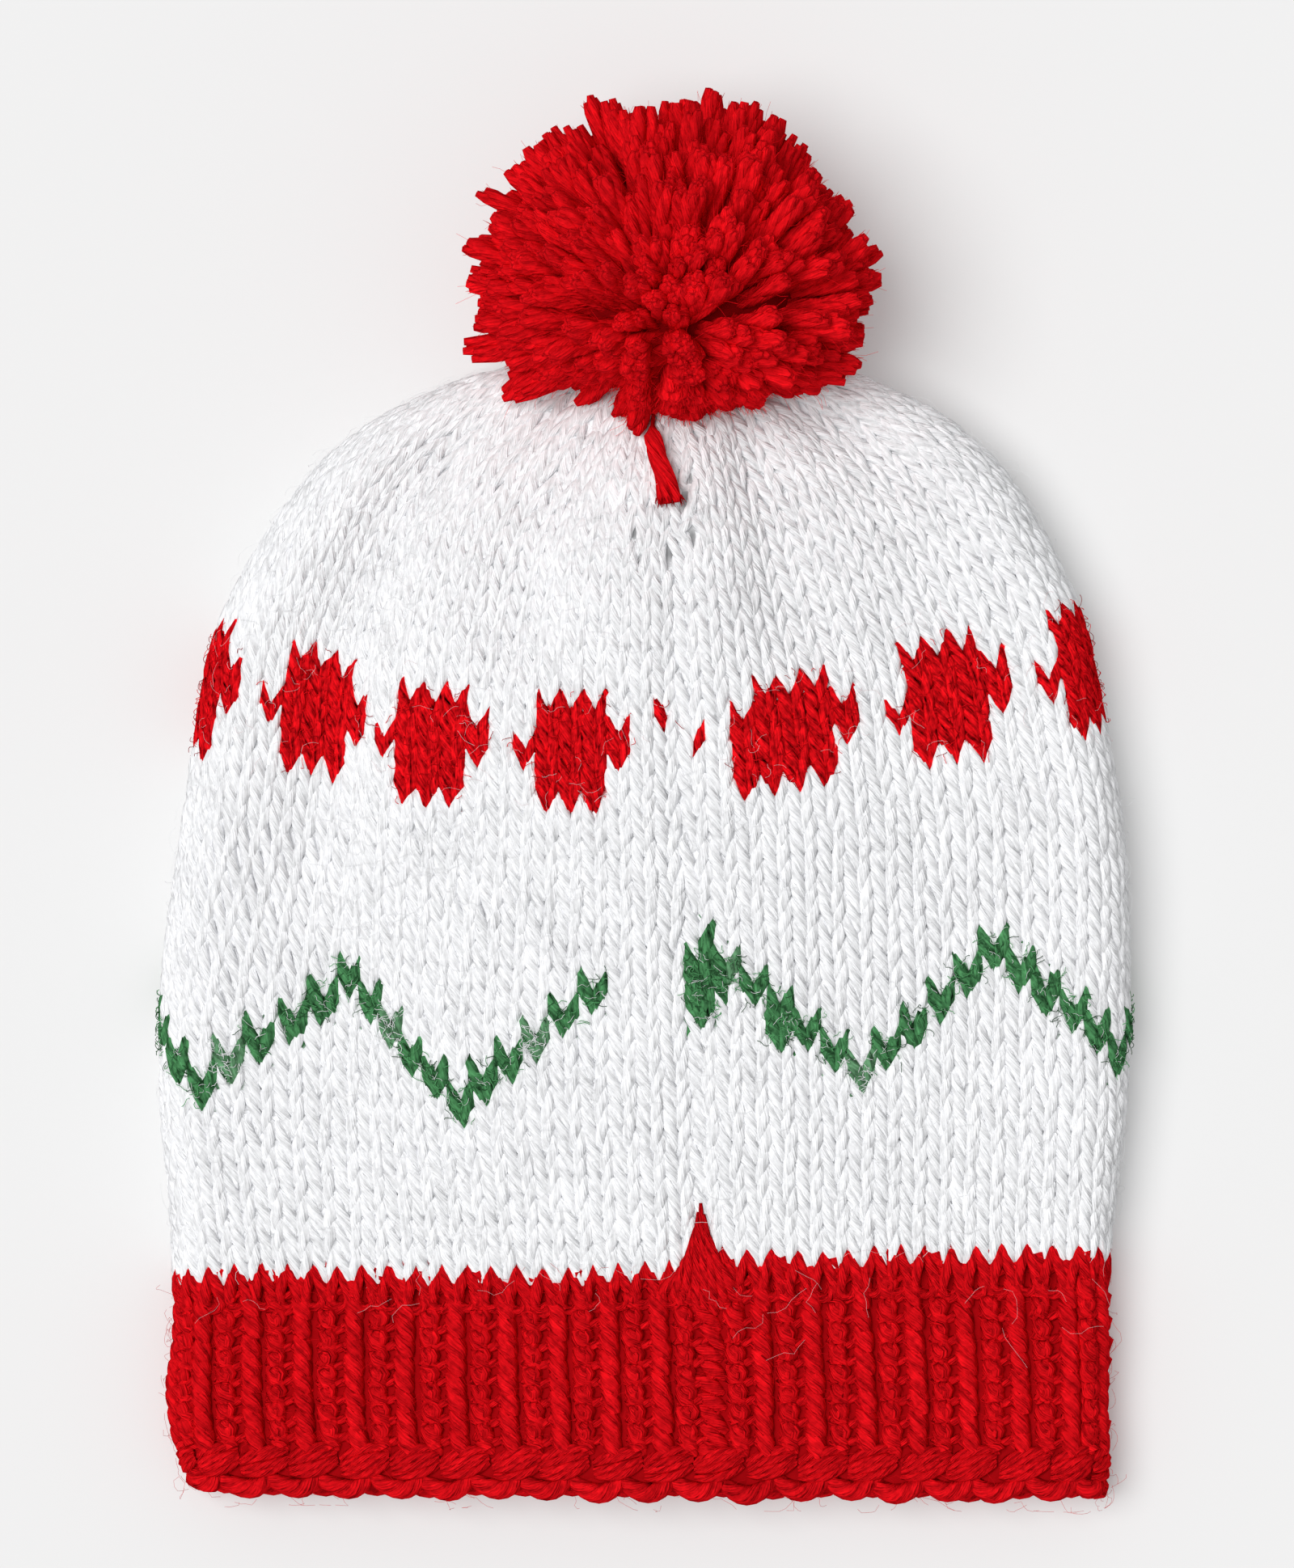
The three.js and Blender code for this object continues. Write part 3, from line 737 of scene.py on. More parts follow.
class CapForm:
    """The lying cap's outer form in metres, sampled by stitch round it and by row up it."""

    def __init__(self):
        self.rows = np.arange(EDGE_ROW, LAST_ROW + ROW_STEP / 2, ROW_STEP)
        stitches = np.arange(STITCHES_ROUND * GRID_PER_STITCH) / GRID_PER_STITCH
        lines = []
        perimeters = []
        for row in self.rows:
            points, lengths, seam_length = section_loop(row)
            total = lengths[-1]
            target = np.mod(seam_length + stitches / STITCHES_ROUND * total, total)
            lines.append(np.column_stack([np.interp(target, lengths, points[:, i]) for i in range(3)]))
            perimeters.append(total)
        plain = np.array(lines)
        self.perimeters = np.array(perimeters) * MM
        relief = body_relief(stitches[None, :], self.rows[:, None])
        points = plain + self.grid_normals(plain) * relief[:, :, None]
        points[:, :, 2] = np.maximum(points[:, :, 2], 0)
        self.normals = self.grid_normals(points)
        low = np.array(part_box("knit_body")[0])
        body = points[self.rows >= 0].reshape(-1, 3) * MM
        self.offset = low - body.min(axis=0)
        self.offset[2] = 0
        self.points = points * MM + self.offset

    @staticmethod
    def grid_normals(points):
        """Outward directions of a grid that closes round its columns."""
        around = np.roll(points, -1, axis=1) - np.roll(points, 1, axis=1)
        upward = np.gradient(points, axis=0)
        normals = np.cross(around, upward)
        return normals / np.maximum(np.linalg.norm(normals, axis=2, keepdims=True), NORMAL_LEAST)

    def at(self, stitch, row):
        """Points and outward directions at stitches counted from the seam and rows."""
        columns = self.points.shape[1]
        column = np.mod(stitch, STITCHES_ROUND) * GRID_PER_STITCH
        line = np.clip((row - EDGE_ROW) / ROW_STEP, 0, len(self.rows) - LINES_FREE)
        c0 = np.floor(column).astype(int) % columns
        c1 = (c0 + 1) % columns
        l0 = np.floor(line).astype(int)
        fc = (column - np.floor(column))[..., None]
        fl = (line - l0)[..., None]

        def mix(grid):
            """Values of a grid between its nearest four nodes."""
            low = grid[l0, c0] * (1 - fc) + grid[l0, c1] * fc
            high = grid[l0 + 1, c0] * (1 - fc) + grid[l0 + 1, c1] * fc
            return low * (1 - fl) + high * fl

        normals = mix(self.normals)
        return mix(self.points), normals / np.linalg.norm(normals, axis=-1, keepdims=True)

    def pitch(self, row, count):
        """Width of one stitch at a row, in metres."""
        return np.interp(row, self.rows, self.perimeters) / count

    def local(self, x, y, z):
        """A place given in the section table's millimetres, in metres in the frame."""
        return np.array((x, y, z)) * MM + self.offset


class YarnPaths:
    """Centre lines of yarn with their radius, dye and length, gathered for one sweep."""

    def __init__(self):
        self.points, self.radius, self.dye, self.along, self.edges = [], [], [], [], []
        self.count = 0

    def add(self, points, radius, dye):
        """One centre line; its radius and dye are the same all along or given for each point."""
        size = len(points)
        steps = np.linalg.norm(np.diff(points, axis=0), axis=1)
        self.points.append(points)
        self.radius.append(np.broadcast_to(radius, (size,)))
        self.dye.append(np.broadcast_to(dye, (size, 3)))
        start = self.count * TWIST_SHIFT % TWIST_REPEAT
        self.along.append(start + np.concatenate(((0.0,), np.cumsum(steps))))
        first = self.count + np.arange(size - 1)
        self.edges.append(np.column_stack((first, first + 1)))
        self.count += size

    def mesh(self, name):
        """All the centre lines as edges, with their values as attributes."""
        mesh = bpy.data.meshes.new(name)
        edges = np.concatenate(self.edges)
        mesh.vertices.add(self.count)
        mesh.edges.add(len(edges))
        mesh.vertices.foreach_set("co", np.concatenate(self.points).astype(np.float32).ravel())
        mesh.edges.foreach_set("vertices", edges.astype(np.int32).ravel())
        colours = np.ones((self.count, 4), dtype=np.float32)
        colours[:, :3] = np.concatenate(self.dye)
        set_attribute(mesh, "yarn_radius", "FLOAT", np.concatenate(self.radius))
        set_attribute(mesh, "along", "FLOAT", np.concatenate(self.along))
        set_attribute(mesh, "dye", "FLOAT_COLOR", colours)
        mesh.update()
        return mesh


def set_attribute(mesh, name, kind, values):
    """Stores one value for each point of a mesh."""
    attribute = mesh.attributes.new(name, kind, "POINT")
    field = {"FLOAT": "value", "FLOAT_COLOR": "color"}[kind]
    attribute.data.foreach_set(field, np.ascontiguousarray(values, dtype=np.float32).ravel())


def make_yarn_tree():
    """Geometry Nodes that sweep a round section along centre lines and keep how it turns."""
    tree = bpy.data.node_groups.new("yarn_sweep", "GeometryNodeTree")
    tree.interface.new_socket("Geometry", in_out="INPUT", socket_type="NodeSocketGeometry")
    tree.interface.new_socket("Sides", in_out="INPUT", socket_type="NodeSocketInt")
    tree.interface.new_socket("Material", in_out="INPUT", socket_type="NodeSocketMaterial")
    tree.interface.new_socket("Geometry", in_out="OUTPUT", socket_type="NodeSocketGeometry")
    nodes, links = tree.nodes, tree.links
    source = nodes.new("NodeGroupInput")
    result = nodes.new("NodeGroupOutput")
    lines = nodes.new("GeometryNodeMeshToCurve")
    radius = nodes.new("GeometryNodeInputNamedAttribute")
    radius.data_type = "FLOAT"
    radius.inputs["Name"].default_value = "yarn_radius"
    section = nodes.new("GeometryNodeCurvePrimitiveCircle")
    section.inputs["Radius"].default_value = 1.0
    place = nodes.new("GeometryNodeInputPosition")
    turned = nodes.new("GeometryNodeStoreNamedAttribute")
    turned.data_type = "FLOAT_VECTOR"
    turned.domain = "POINT"
    turned.inputs["Name"].default_value = "turn"
    swept = nodes.new("GeometryNodeCurveToMesh")
    swept.inputs["Fill Caps"].default_value = True
    smooth = nodes.new("GeometryNodeSetShadeSmooth")
    real = nodes.new("GeometryNodeRealizeInstances")
    painted = nodes.new("GeometryNodeSetMaterial")
    links.new(source.outputs["Geometry"], lines.inputs["Mesh"])
    links.new(source.outputs["Sides"], section.inputs["Resolution"])
    links.new(section.outputs["Curve"], turned.inputs["Geometry"])
    links.new(place.outputs["Position"], turned.inputs["Value"])
    links.new(lines.outputs["Curve"], swept.inputs["Curve"])
    links.new(turned.outputs["Geometry"], swept.inputs["Profile Curve"])
    links.new(radius.outputs["Attribute"], swept.inputs["Scale"])
    links.new(swept.outputs["Mesh"], smooth.inputs["Geometry"])
    links.new(smooth.outputs["Geometry"], real.inputs["Geometry"])
    links.new(real.outputs["Geometry"], painted.inputs["Geometry"])
    links.new(source.outputs["Material"], painted.inputs["Material"])
    links.new(painted.outputs["Geometry"], result.inputs["Geometry"])
    return tree


def sweep_yarn(paths, name, sides, material):
    """Turns yarn paths into one plain mesh object."""
    tree = bpy.data.node_groups.get("yarn_sweep") or make_yarn_tree()
    sockets = {item.name: item.identifier for item in tree.interface.items_tree if item.in_out == "INPUT"}
    piece = bpy.data.objects.new(name, paths.mesh(name + "_lines"))
    bpy.context.scene.collection.objects.link(piece)
    modifier = piece.modifiers.new("yarn_sweep", "NODES")
    modifier.node_group = tree
    modifier[sockets["Sides"]] = sides
    modifier[sockets["Material"]] = material
    bpy.context.view_layer.update()
    evaluated = piece.evaluated_get(bpy.context.evaluated_depsgraph_get())
    mesh = bpy.data.meshes.new_from_object(evaluated)
    lines = piece.data
    piece.modifiers.clear()
    piece.data = mesh
    mesh.name = name
    bpy.data.meshes.remove(lines)
    if not mesh.polygons:
        raise RuntimeError(name + " came out empty")
    return piece


def shell_object(name, rings, dyes, closed, material):
    """A closed wall through rings of points; without closed, both end rings are capped by a point."""
    count, columns = len(rings), len(rings[0])
    points = np.concatenate(rings)
    colours = np.concatenate(dyes)
    index = np.arange(count * columns).reshape(count, columns)
    if closed:
        upper, lower = index, np.roll(index, -1, axis=0)
    else:
        upper, lower = index[:-1], index[1:]
    right = np.roll(upper, -1, axis=1)
    lower_right = np.roll(lower, -1, axis=1)
    faces = np.stack((upper, lower, lower_right, right), axis=-1).reshape(-1, 4).tolist()
    if not closed:
        start, end = len(points), len(points) + 1
        points = np.vstack((points, rings[0].mean(axis=0), rings[-1].mean(axis=0)))
        colours = np.vstack((colours, colours[0], colours[-1]))
        faces += [(start, j, (j + 1) % columns) for j in range(columns)]
        last = index[-1]
        faces += [(end, last[(j + 1) % columns], last[j]) for j in range(columns)]
    mesh = bpy.data.meshes.new(name)
    mesh.from_pydata(points.tolist(), [], faces)
    tint = np.ones((len(points), 4), dtype=np.float32)
    tint[:, :3] = colours
    set_attribute(mesh, "dye", "FLOAT_COLOR", tint)
    mesh.shade_smooth()
    mesh.materials.append(material)
    piece = bpy.data.objects.new(name, mesh)
    bpy.context.scene.collection.objects.link(piece)
    return piece


def place_piece(piece, slot, *nodes):
    """A finished piece rides on the cap and stands for its solids."""
    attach(piece, "root")
    if nodes:
        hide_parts(*nodes)


def seam_side(column):
    """A column counted from the seam the nearer way round: left is below zero."""
    half = STITCHES_ROUND // 2
    return (column + half) % STITCHES_ROUND - half


def pattern_yarn(half, row):
    """Which yarn the chart gives to a leg of a stitch, legs counted in halves of columns from the seam."""
    if (half, row) in SEAM_RED_HALVES:
        return RED_YARN
    if (half, row) in SEAM_GREEN_HALVES:
        return GREEN_YARN
    side = seam_side(half // 2)
    right = side >= 0
    chart_row = row - SEAM_JOG if right else row
    peak = ZIGZAG_RIGHT_PEAK if right else ZIGZAG_LEFT_PEAK
    beyond_peak = side >= peak if right else side <= peak
    away = abs(side - peak) % (2 * ZIGZAG_STEPS)
    if beyond_peak and chart_row == ZIGZAG_LOW_ROW + abs(away - ZIGZAG_STEPS):
        return FADED_YARN if side in FADED_COLUMNS else GREEN_YARN
    dot_row = chart_row - DOT_LOW_ROW
    if 0 <= dot_row < len(DOT_ROWS):
        reach = DOT_REPEAT // 2
        middle = DOT_RIGHT_MIDDLE if right else DOT_LEFT_MIDDLE
        off = (side - middle + reach) % DOT_REPEAT - reach
        beyond_seam = side >= middle - reach if right else side <= middle + reach
        low, high = DOT_ROWS[dot_row]
        if beyond_seam and low <= off <= high:
            return RED_YARN
    return WHITE_YARN


def yarn_dyes(colours):
    """The dyes in the chart's order; white half covers the green of the last."""
    white, green = np.array(colours.white), np.array(colours.green)
    return np.array((white, colours.red, green, green + (white - green) * FADED_SHARE))


def drawn_columns(u, row):
    """How many columns the left side's fold draws a place towards the seam."""
    side = seam_side(u)
    left = np.maximum(-side, 0)
    zigzag_share = np.interp(row, DRAWN_ROWS, DRAWN_AT_ZIGZAG)
    dots_share = np.interp(row, DRAWN_ROWS, DRAWN_AT_DOTS)
    at_zigzag = zigzag_share * np.interp(left, DRAWN_COLUMNS[:, 0], DRAWN_COLUMNS[:, 1])
    at_dots = dots_share * np.interp(left, DRAWN_COLUMNS[:, 0], DRAWN_COLUMNS[:, 2])
    spread = dots_share * np.interp(side, SPREAD_COLUMNS[:, 0], SPREAD_COLUMNS[:, 1])
    return at_zigzag + at_dots + spread


def lifted_rows(u, row):
    """How many rows the fabric is lifted at places of one row."""
    side = seam_side(u)
    place = np.interp(row, LIFT_ROWS, np.arange(len(LIFT_ROWS)))
    low = int(min(place, len(LIFT_ROWS) - 2))
    before = np.interp(side, LIFT_TABLE[:, 0], LIFT_TABLE[:, low + 1])
    after = np.interp(side, LIFT_TABLE[:, 0], LIFT_TABLE[:, low + 2])
    return before + (after - before) * (place - low)


def hole_share(stitch, row):
    """How near places lie to the small gaps beside the seam: 1 in their middles."""
    near = 0
    for hole_stitch, hole_row, _ in HOLES:
        away = np.hypot(stitch_distance(stitch, hole_stitch), row - hole_row)
        near = np.maximum(near, np.exp(-(away / HOLE_REACH) ** 2))
    return near


def parted(stitch, row):
    """Places moved away from the small gaps."""
    for hole_stitch, hole_row, width in HOLES:
        across, along = stitch_distance(stitch, hole_stitch), row - hole_row
        away = np.hypot(across, along) + HOLE_LEAST
        push = width * np.exp(-(away / HOLE_REACH) ** 2) / away
        stitch, row = stitch + across * push, row + along * push
    return stitch, row


def scattered(rng, u, first, last, spread):
    """A random value for each stitch, run smoothly from one to the next."""
    centres = np.arange(first - 1, last + 2) + 0.5
    return np.interp(u, centres, rng.normal(0, spread, len(centres)))


def laid_points(form, stitch, row, radius, depth):
    """Points of a strand that lies a depth below the cap's outer form, and above the floor."""
    points, normals = form.at(stitch, row)
    points = points - normals * depth[:, None]
    points[:, 2] = np.maximum(points[:, 2], radius)
    return points


def knit_course(form, row, round_count, first, last, per_stitch, sizes, rng, foot_tuck=0.0, head_tuck=0.0):
    """One row of loops from column first to column last: its points, radius and half columns."""
    scale = STITCHES_ROUND / round_count
    u = first + np.arange((last - first) * per_stitch + 1) / per_stitch
    phase = 2 * math.pi * (u - 0.5)
    rise, front = np.cos(phase), -np.cos(2 * phase)
    uneven = sizes.unevenness
    near_seam = np.exp(-(u / SEAM_UNEVEN_REACH) ** 2)
    shift_u = scattered(rng, u, first, last, SCATTER_ACROSS * uneven)
    shift_v = scattered(rng, u, first, last, SCATTER_UP * uneven) * (1 + SEAM_UNEVEN * near_seam)
    lean = sizes.loop_lean * (1 + scattered(rng, u, first, last, SCATTER_LEAN * uneven))
    thick = 1 + scattered(rng, u, first, last, SCATTER_THICK * uneven)
    stitch = (u + lean * np.sin(2 * phase) + shift_u) * scale
    seam_step = SEAM_STEP * np.sign(u) * np.exp(-(u / SEAM_STEP_REACH) ** 2)
    height = row + sizes.loop_height * rise + shift_v + seam_step
    slim = min(1.0, form.pitch(row, round_count) / FULL_PITCH) ** SLIM_POWER
    radius = sizes.yarn_radius * slim * thick * (STITCH_THICK + LEG_THICKER * front)
    tuck = foot_tuck * smoothstep(-rise, FOOT_TUCK_FROM, 1) + head_tuck * smoothstep(rise, HEAD_TUCK_FROM, 1)
    depth = sizes.yarn_radius + sizes.loop_depth - sizes.loop_depth * front + tuck
    stitch, height = parted(stitch + drawn_columns(stitch, row), height + lifted_rows(stitch, row))
    return laid_points(form, stitch, height, radius, depth), radius, np.floor(2 * u).astype(int)


def make_body_stitches(form, sizes, colours, columns, rows, per_stitch, seed):
    """Rows of the body between two columns, as yarn paths."""
    rng = np.random.default_rng(seed)
    dyes = yarn_dyes(colours)
    paths = YarnPaths()
    for row in rows:
        round_count = [count for start, count in CROWN_ROUNDS if row >= start][-1]
        share = round_count / STITCHES_ROUND
        low, high = round(columns[0] * share), round(columns[1] * share)
        tuck = FIRST_ROW_TUCK if row == 0 else 0.0
        points, radius, halves = knit_course(
            form, row + 0.5, round_count, low, high, per_stitch, sizes, rng, tuck, HEAD_TUCK)
        legs = halves - 2 * low
        chart = np.array([pattern_yarn(half, row) for half in range(2 * low, 2 * high + 1)])[legs]
        thick = np.where(chart >= GREEN_YARN, GREEN_THICK, 1.0)
        tone = np.repeat(rng.normal(1, STITCH_TONES, high - low + 1), 2)[legs, None]
        paths.add(points, radius * thick, dyes[chart] * tone)
    return paths


def wall_ring(form, row, depth):
    """Points round the cap at one row, a depth below its outer form."""
    points, normals = form.at(WALL_STITCHES, np.full(len(WALL_STITCHES), float(row)))
    return points - normals * depth


def reverse_dyes(dyes, row):
    """Dyes round the body's reverse at one row, with painted shade in the small gaps."""
    halves = np.floor(2 * (WALL_STITCHES - drawn_columns(WALL_STITCHES, row))).astype(int)
    rows = row - lifted_rows(WALL_STITCHES, row)
    chart = [pattern_yarn(half, math.floor(high)) for half, high in zip(halves, rows)]
    chart = np.where(rows > RED_REVERSE_ROWS, chart, RED_YARN)
    # Painted shade: the reverse is darker where the small gaps open
    shade = 1 - HOLE_PAINTED_SHADE * hole_share(WALL_STITCHES, row)
    return dyes[chart] * shade[:, None]


def make_body_wall(form, sizes, colours, material):
    """The reverse of the knitting: a closed wall behind the stitches, with the hollow inside."""
    dyes = yarn_dyes(colours)
    outer_rows = np.arange(REVERSE_TOP, -REVERSE_STEP / 2, -REVERSE_STEP)
    inner_rows = np.array((*range(REVERSE_INNER_ROWS), REVERSE_INNER_TOP))
    rings = [wall_ring(form, row, REVERSE_DEPTH) for row in outer_rows]
    rings += [wall_ring(form, row, sizes.wall) for row in inner_rows]
    tints = [reverse_dyes(dyes, row) for row in (*outer_rows, *inner_rows)]
    return shell_object("body_reverse", rings, tints, False, material)


def rib_points(form, unit, across, row, radius, reach, inside, sizes):
    """Points of a rib's strand outside the band, or inside it, where the ribs stand half a unit on."""
    stitch = 2 * (unit + across + (0.5 if inside else 0))
    depth = sizes.band_wall - reach if inside else reach
    return laid_points(form, stitch, row, radius, depth)


def rib_leg(form, unit, index, inside, sizes, rng):
    """One leg of a rib stitch: its head goes behind the leg above, its foot lies over the leg below."""
    share = np.linspace(-1, 1, RIB_POINTS)
    across = RIB_PLACE - RIB_LEAN * share + rng.normal(0, RIB_SCATTER_ACROSS)
    lifted = lifted_rows(2 * unit, 0) * max(0, 1 - index / RIB_LIFTED_ROWS)
    row = RIB_FIRST_ROW - RIB_ROW_STEP * index + RIB_REACH * share + lifted + rng.normal(0, RIB_SCATTER_UP)
    thick = RIB_THICK * (1 - RIB_TAPER * share ** 2) * rng.normal(1, RIB_SCATTER_THICK)
    radius = sizes.band_yarn_radius * thick
    head = RIB_HEAD_BEHIND * smoothstep(share, RIB_HEAD_FROM, 1)
    foot = RIB_FOOT_BEHIND * smoothstep(-share, RIB_FOOT_FROM, 1)
    reach = radius + (RIB_INSET + head + foot) * MM
    return rib_points(form, unit, across, row, radius, reach, inside, sizes), radius


def rib_wave(form, unit, inside, sizes, rng):
    """The thin strand of a rib: it bows out once in each row and goes behind, thinner, between the rows."""
    share = np.arange(RIB_ROWS * WAVE_POINTS + 1) / WAVE_POINTS
    out = 2 * np.abs(np.cos(math.pi * share)) - 1
    wobble = np.interp(share, np.arange(RIB_ROWS + 1), rng.normal(0, WAVE_SCATTER, RIB_ROWS + 1))
    across = WAVE_PLACE + WAVE_SWING * out + wobble
    lifted = lifted_rows(2 * unit, 0) * np.maximum(0, 1 - share / RIB_LIFTED_ROWS)
    row = RIB_FIRST_ROW + WAVE_RISE - RIB_ROW_STEP * share + lifted
    radius = sizes.band_yarn_radius * WAVE_THICK * (WAVE_SLIM + WAVE_SWELL * out)
    reach = radius + (WAVE_INSET - WAVE_DIP * out) * MM
    return rib_points(form, unit, across, row, radius, reach, inside, sizes), radius


def make_band_stitches(form, sizes, colours):
    """A plain top row, rib rows outside and inside, the seam and the looped cast-on edge."""
    rng = np.random.default_rng(BAND_SEED)
    # Painted light: the same red yarn as the dots, made brighter for the band
    red = np.array(colours.red) * BAND_RED_PAINTED_LIGHT
    paths = YarnPaths()
    points, radius, _ = knit_course(form, BAND_TOP_ROW, STITCHES_ROUND, 0, STITCHES_ROUND, BACK_STEPS,
                                    sizes, rng, head_tuck=BAND_HEAD_TUCK)
    paths.add(points, radius, red)
    for unit in range(STITCHES_ROUND // 2):
        for inside in (False, True):
            step = INSIDE_STEP if inside else 1
            points, radius = rib_wave(form, unit, inside, sizes, rng)
            paths.add(points[::step], radius[::step], red * rng.normal(1, BAND_TONES))
            # The seam's slanting strands take the place of the first rib's legs outside
            if unit == 0 and not inside:
                continue
            for index in range(RIB_ROWS):
                points, radius = rib_leg(form, unit, index, inside, sizes, rng)
                paths.add(points[::step], radius[::step], red * rng.normal(1, BAND_TONES))
    add_purl_bumps(paths, form, sizes, red, rng)
    add_band_seam(paths, form, sizes, red, rng)
    add_seam_peak(paths, form, sizes, red)
    add_cast_on(paths, form, sizes, red, rng)
    return paths


def add_bar(paths, form, sizes, sweep, stitch, row, shape, dye, below=0.0):
    """A short strand of the band, thinner and deeper towards its ends."""
    thick, thinner, deep, deeper = shape
    radius = sizes.band_yarn_radius * (thick - thinner * sweep ** 2)
    depth = radius + (deep + deeper * sweep ** 2 + below) * MM
    paths.add(laid_points(form, stitch, row, radius, depth), radius, dye)


def add_purl_bumps(paths, form, sizes, red, rng):
    """Short bars across the ditches on the cap's back, one between each two rows."""
    sweep = np.linspace(-1, 1, PURL_POINTS)
    for unit in range(BACK_FIRST // 2, BACK_LAST // 2):
        for index in range(RIB_ROWS):
            stitch = 2 * (unit + PURL_PLACE + PURL_REACH * sweep)
            level = RIB_FIRST_ROW - RIB_ROW_STEP * (index + PURL_DROP)
            row = level + PURL_SLANT * sweep + rng.normal(0, PURL_SCATTER)
            add_bar(paths, form, sizes, sweep, stitch, row, PURL_BAR, red * rng.normal(1, PURL_TONES))


def add_band_seam(paths, form, sizes, red, rng):
    """Slanting strands down the band's seam, where one leg of a rib is drawn in."""
    sweep = np.linspace(-1, 1, BAND_SEAM_POINTS)
    for middle in np.arange(BAND_SEAM_TOP, BAND_SEAM_FOOT, -BAND_SEAM_STEP):
        stitch = BAND_SEAM_COLUMN + rng.normal(0, BAND_SEAM_SCATTER) + BAND_SEAM_REACH * sweep
        row = middle - rng.normal(*BAND_SEAM_SLANT) * sweep
        add_bar(paths, form, sizes, sweep, stitch, row, SEAM_BAR, red * rng.normal(1, BAND_TONES))


def add_seam_peak(paths, form, sizes, red):
    """The band's red spike up the seam."""
    share = np.linspace(0, 1, SEAM_PEAK_POINTS)
    for foot, high in SEAM_PEAK:
        stitch = SEAM_PEAK_COLUMN + foot * (1 - SEAM_PEAK_CLOSING * share ** SEAM_PEAK_CURVE)
        start = SEAM_PEAK_ROW - SEAM_PEAK_TAIL * high
        row = start + (SEAM_PEAK_ROW + high - start) * share
        radius = sizes.band_yarn_radius * (SEAM_PEAK_THICK - SEAM_PEAK_TAPER * share ** 2)
        tail = 1 - smoothstep(share, 0, SEAM_PEAK_TAIL_END)
        depth = SEAM_PEAK_SINK * radius + SEAM_PEAK_TAIL_DEPTH * tail
        paths.add(laid_points(form, stitch, row, radius, depth), radius, red)


def add_cast_on(paths, form, sizes, red, rng):
    """Below each rib a bundle of slanting strands, and below each ditch one hanging loop."""
    sweep = np.linspace(-1, 1, CAST_ON_POINTS)
    for unit in range(STITCHES_ROUND // 2):
        stitch = 2 * (unit + FAN_PLACE) + rng.normal(0, FAN_SCATTER_ACROSS) + FAN_REACH * sweep
        for level in FAN_LEVELS:
            fanned = level * (1 - FAN_CLOSING * sweep ** 2)
            row = FAN_ROW + fanned + FAN_SLANT * sweep + rng.normal(0, FAN_SCATTER_UP)
            dye = red * rng.normal(1, BAND_TONES)
            add_bar(paths, form, sizes, sweep, stitch, row, FAN_BAR, dye, FAN_DEEPER * abs(level))
        stitch = 2 * (unit + HANG_PLACE) + rng.normal(0, HANG_SCATTER_ACROSS) + HANG_REACH * sweep
        row = HANG_ROW + HANG_RISE * sweep ** 2 + rng.normal(0, HANG_SCATTER_UP)
        add_bar(paths, form, sizes, sweep, stitch, row, HANG_BAR, red * rng.normal(1, BAND_TONES))


def make_band_wall(form, colours, material):
    """A closed ring behind the rib stitches, in darker red as painted shade behind them."""
    # Painted shade: the core's red is darkened for the shade between and behind the ribs
    red = np.broadcast_to(np.array(colours.red) * CORE_PAINTED_SHADE, (len(WALL_STITCHES), 3))
    rows = np.linspace(CORE_TOP, CORE_FOOT, CORE_ROWS)
    rings = [wall_ring(form, row, CORE_OUTER) for row in rows]
    rings += [wall_ring(form, row, CORE_INNER) for row in rows[::-1]]
    return shell_object("band_core", rings, [red] * len(rings), True, material)


def node(nodes, kind, **settings):
    """A new shader node with its settings."""
    made = nodes.new(kind)
    for name, value in settings.items():
        setattr(made, name, value)
    return made


def math_node(nodes, links, operation, *values):
    """A math node whose inputs are numbers or other nodes' outputs."""
    made = node(nodes, "ShaderNodeMath", operation=operation)
    for socket, value in zip(made.inputs, values):
        if isinstance(value, (int, float)):
            socket.default_value = value
        else:
            links.new(value, socket)
    return made.outputs[0]


def noise_node(nodes, links, scale, detail, **places):
    """Noise about zero, at a place whose axes come from other nodes' outputs."""
    place = node(nodes, "ShaderNodeCombineXYZ")
    for axis, output in places.items():
        links.new(output, place.inputs[axis])
    noise = node(nodes, "ShaderNodeTexNoise", noise_dimensions="3D")
    noise.inputs["Scale"].default_value = scale
    noise.inputs["Detail"].default_value = detail
    links.new(place.outputs[0], noise.inputs["Vector"])
    return math_node(nodes, links, "SUBTRACT", noise.outputs["Fac"], NOISE_MIDDLE)


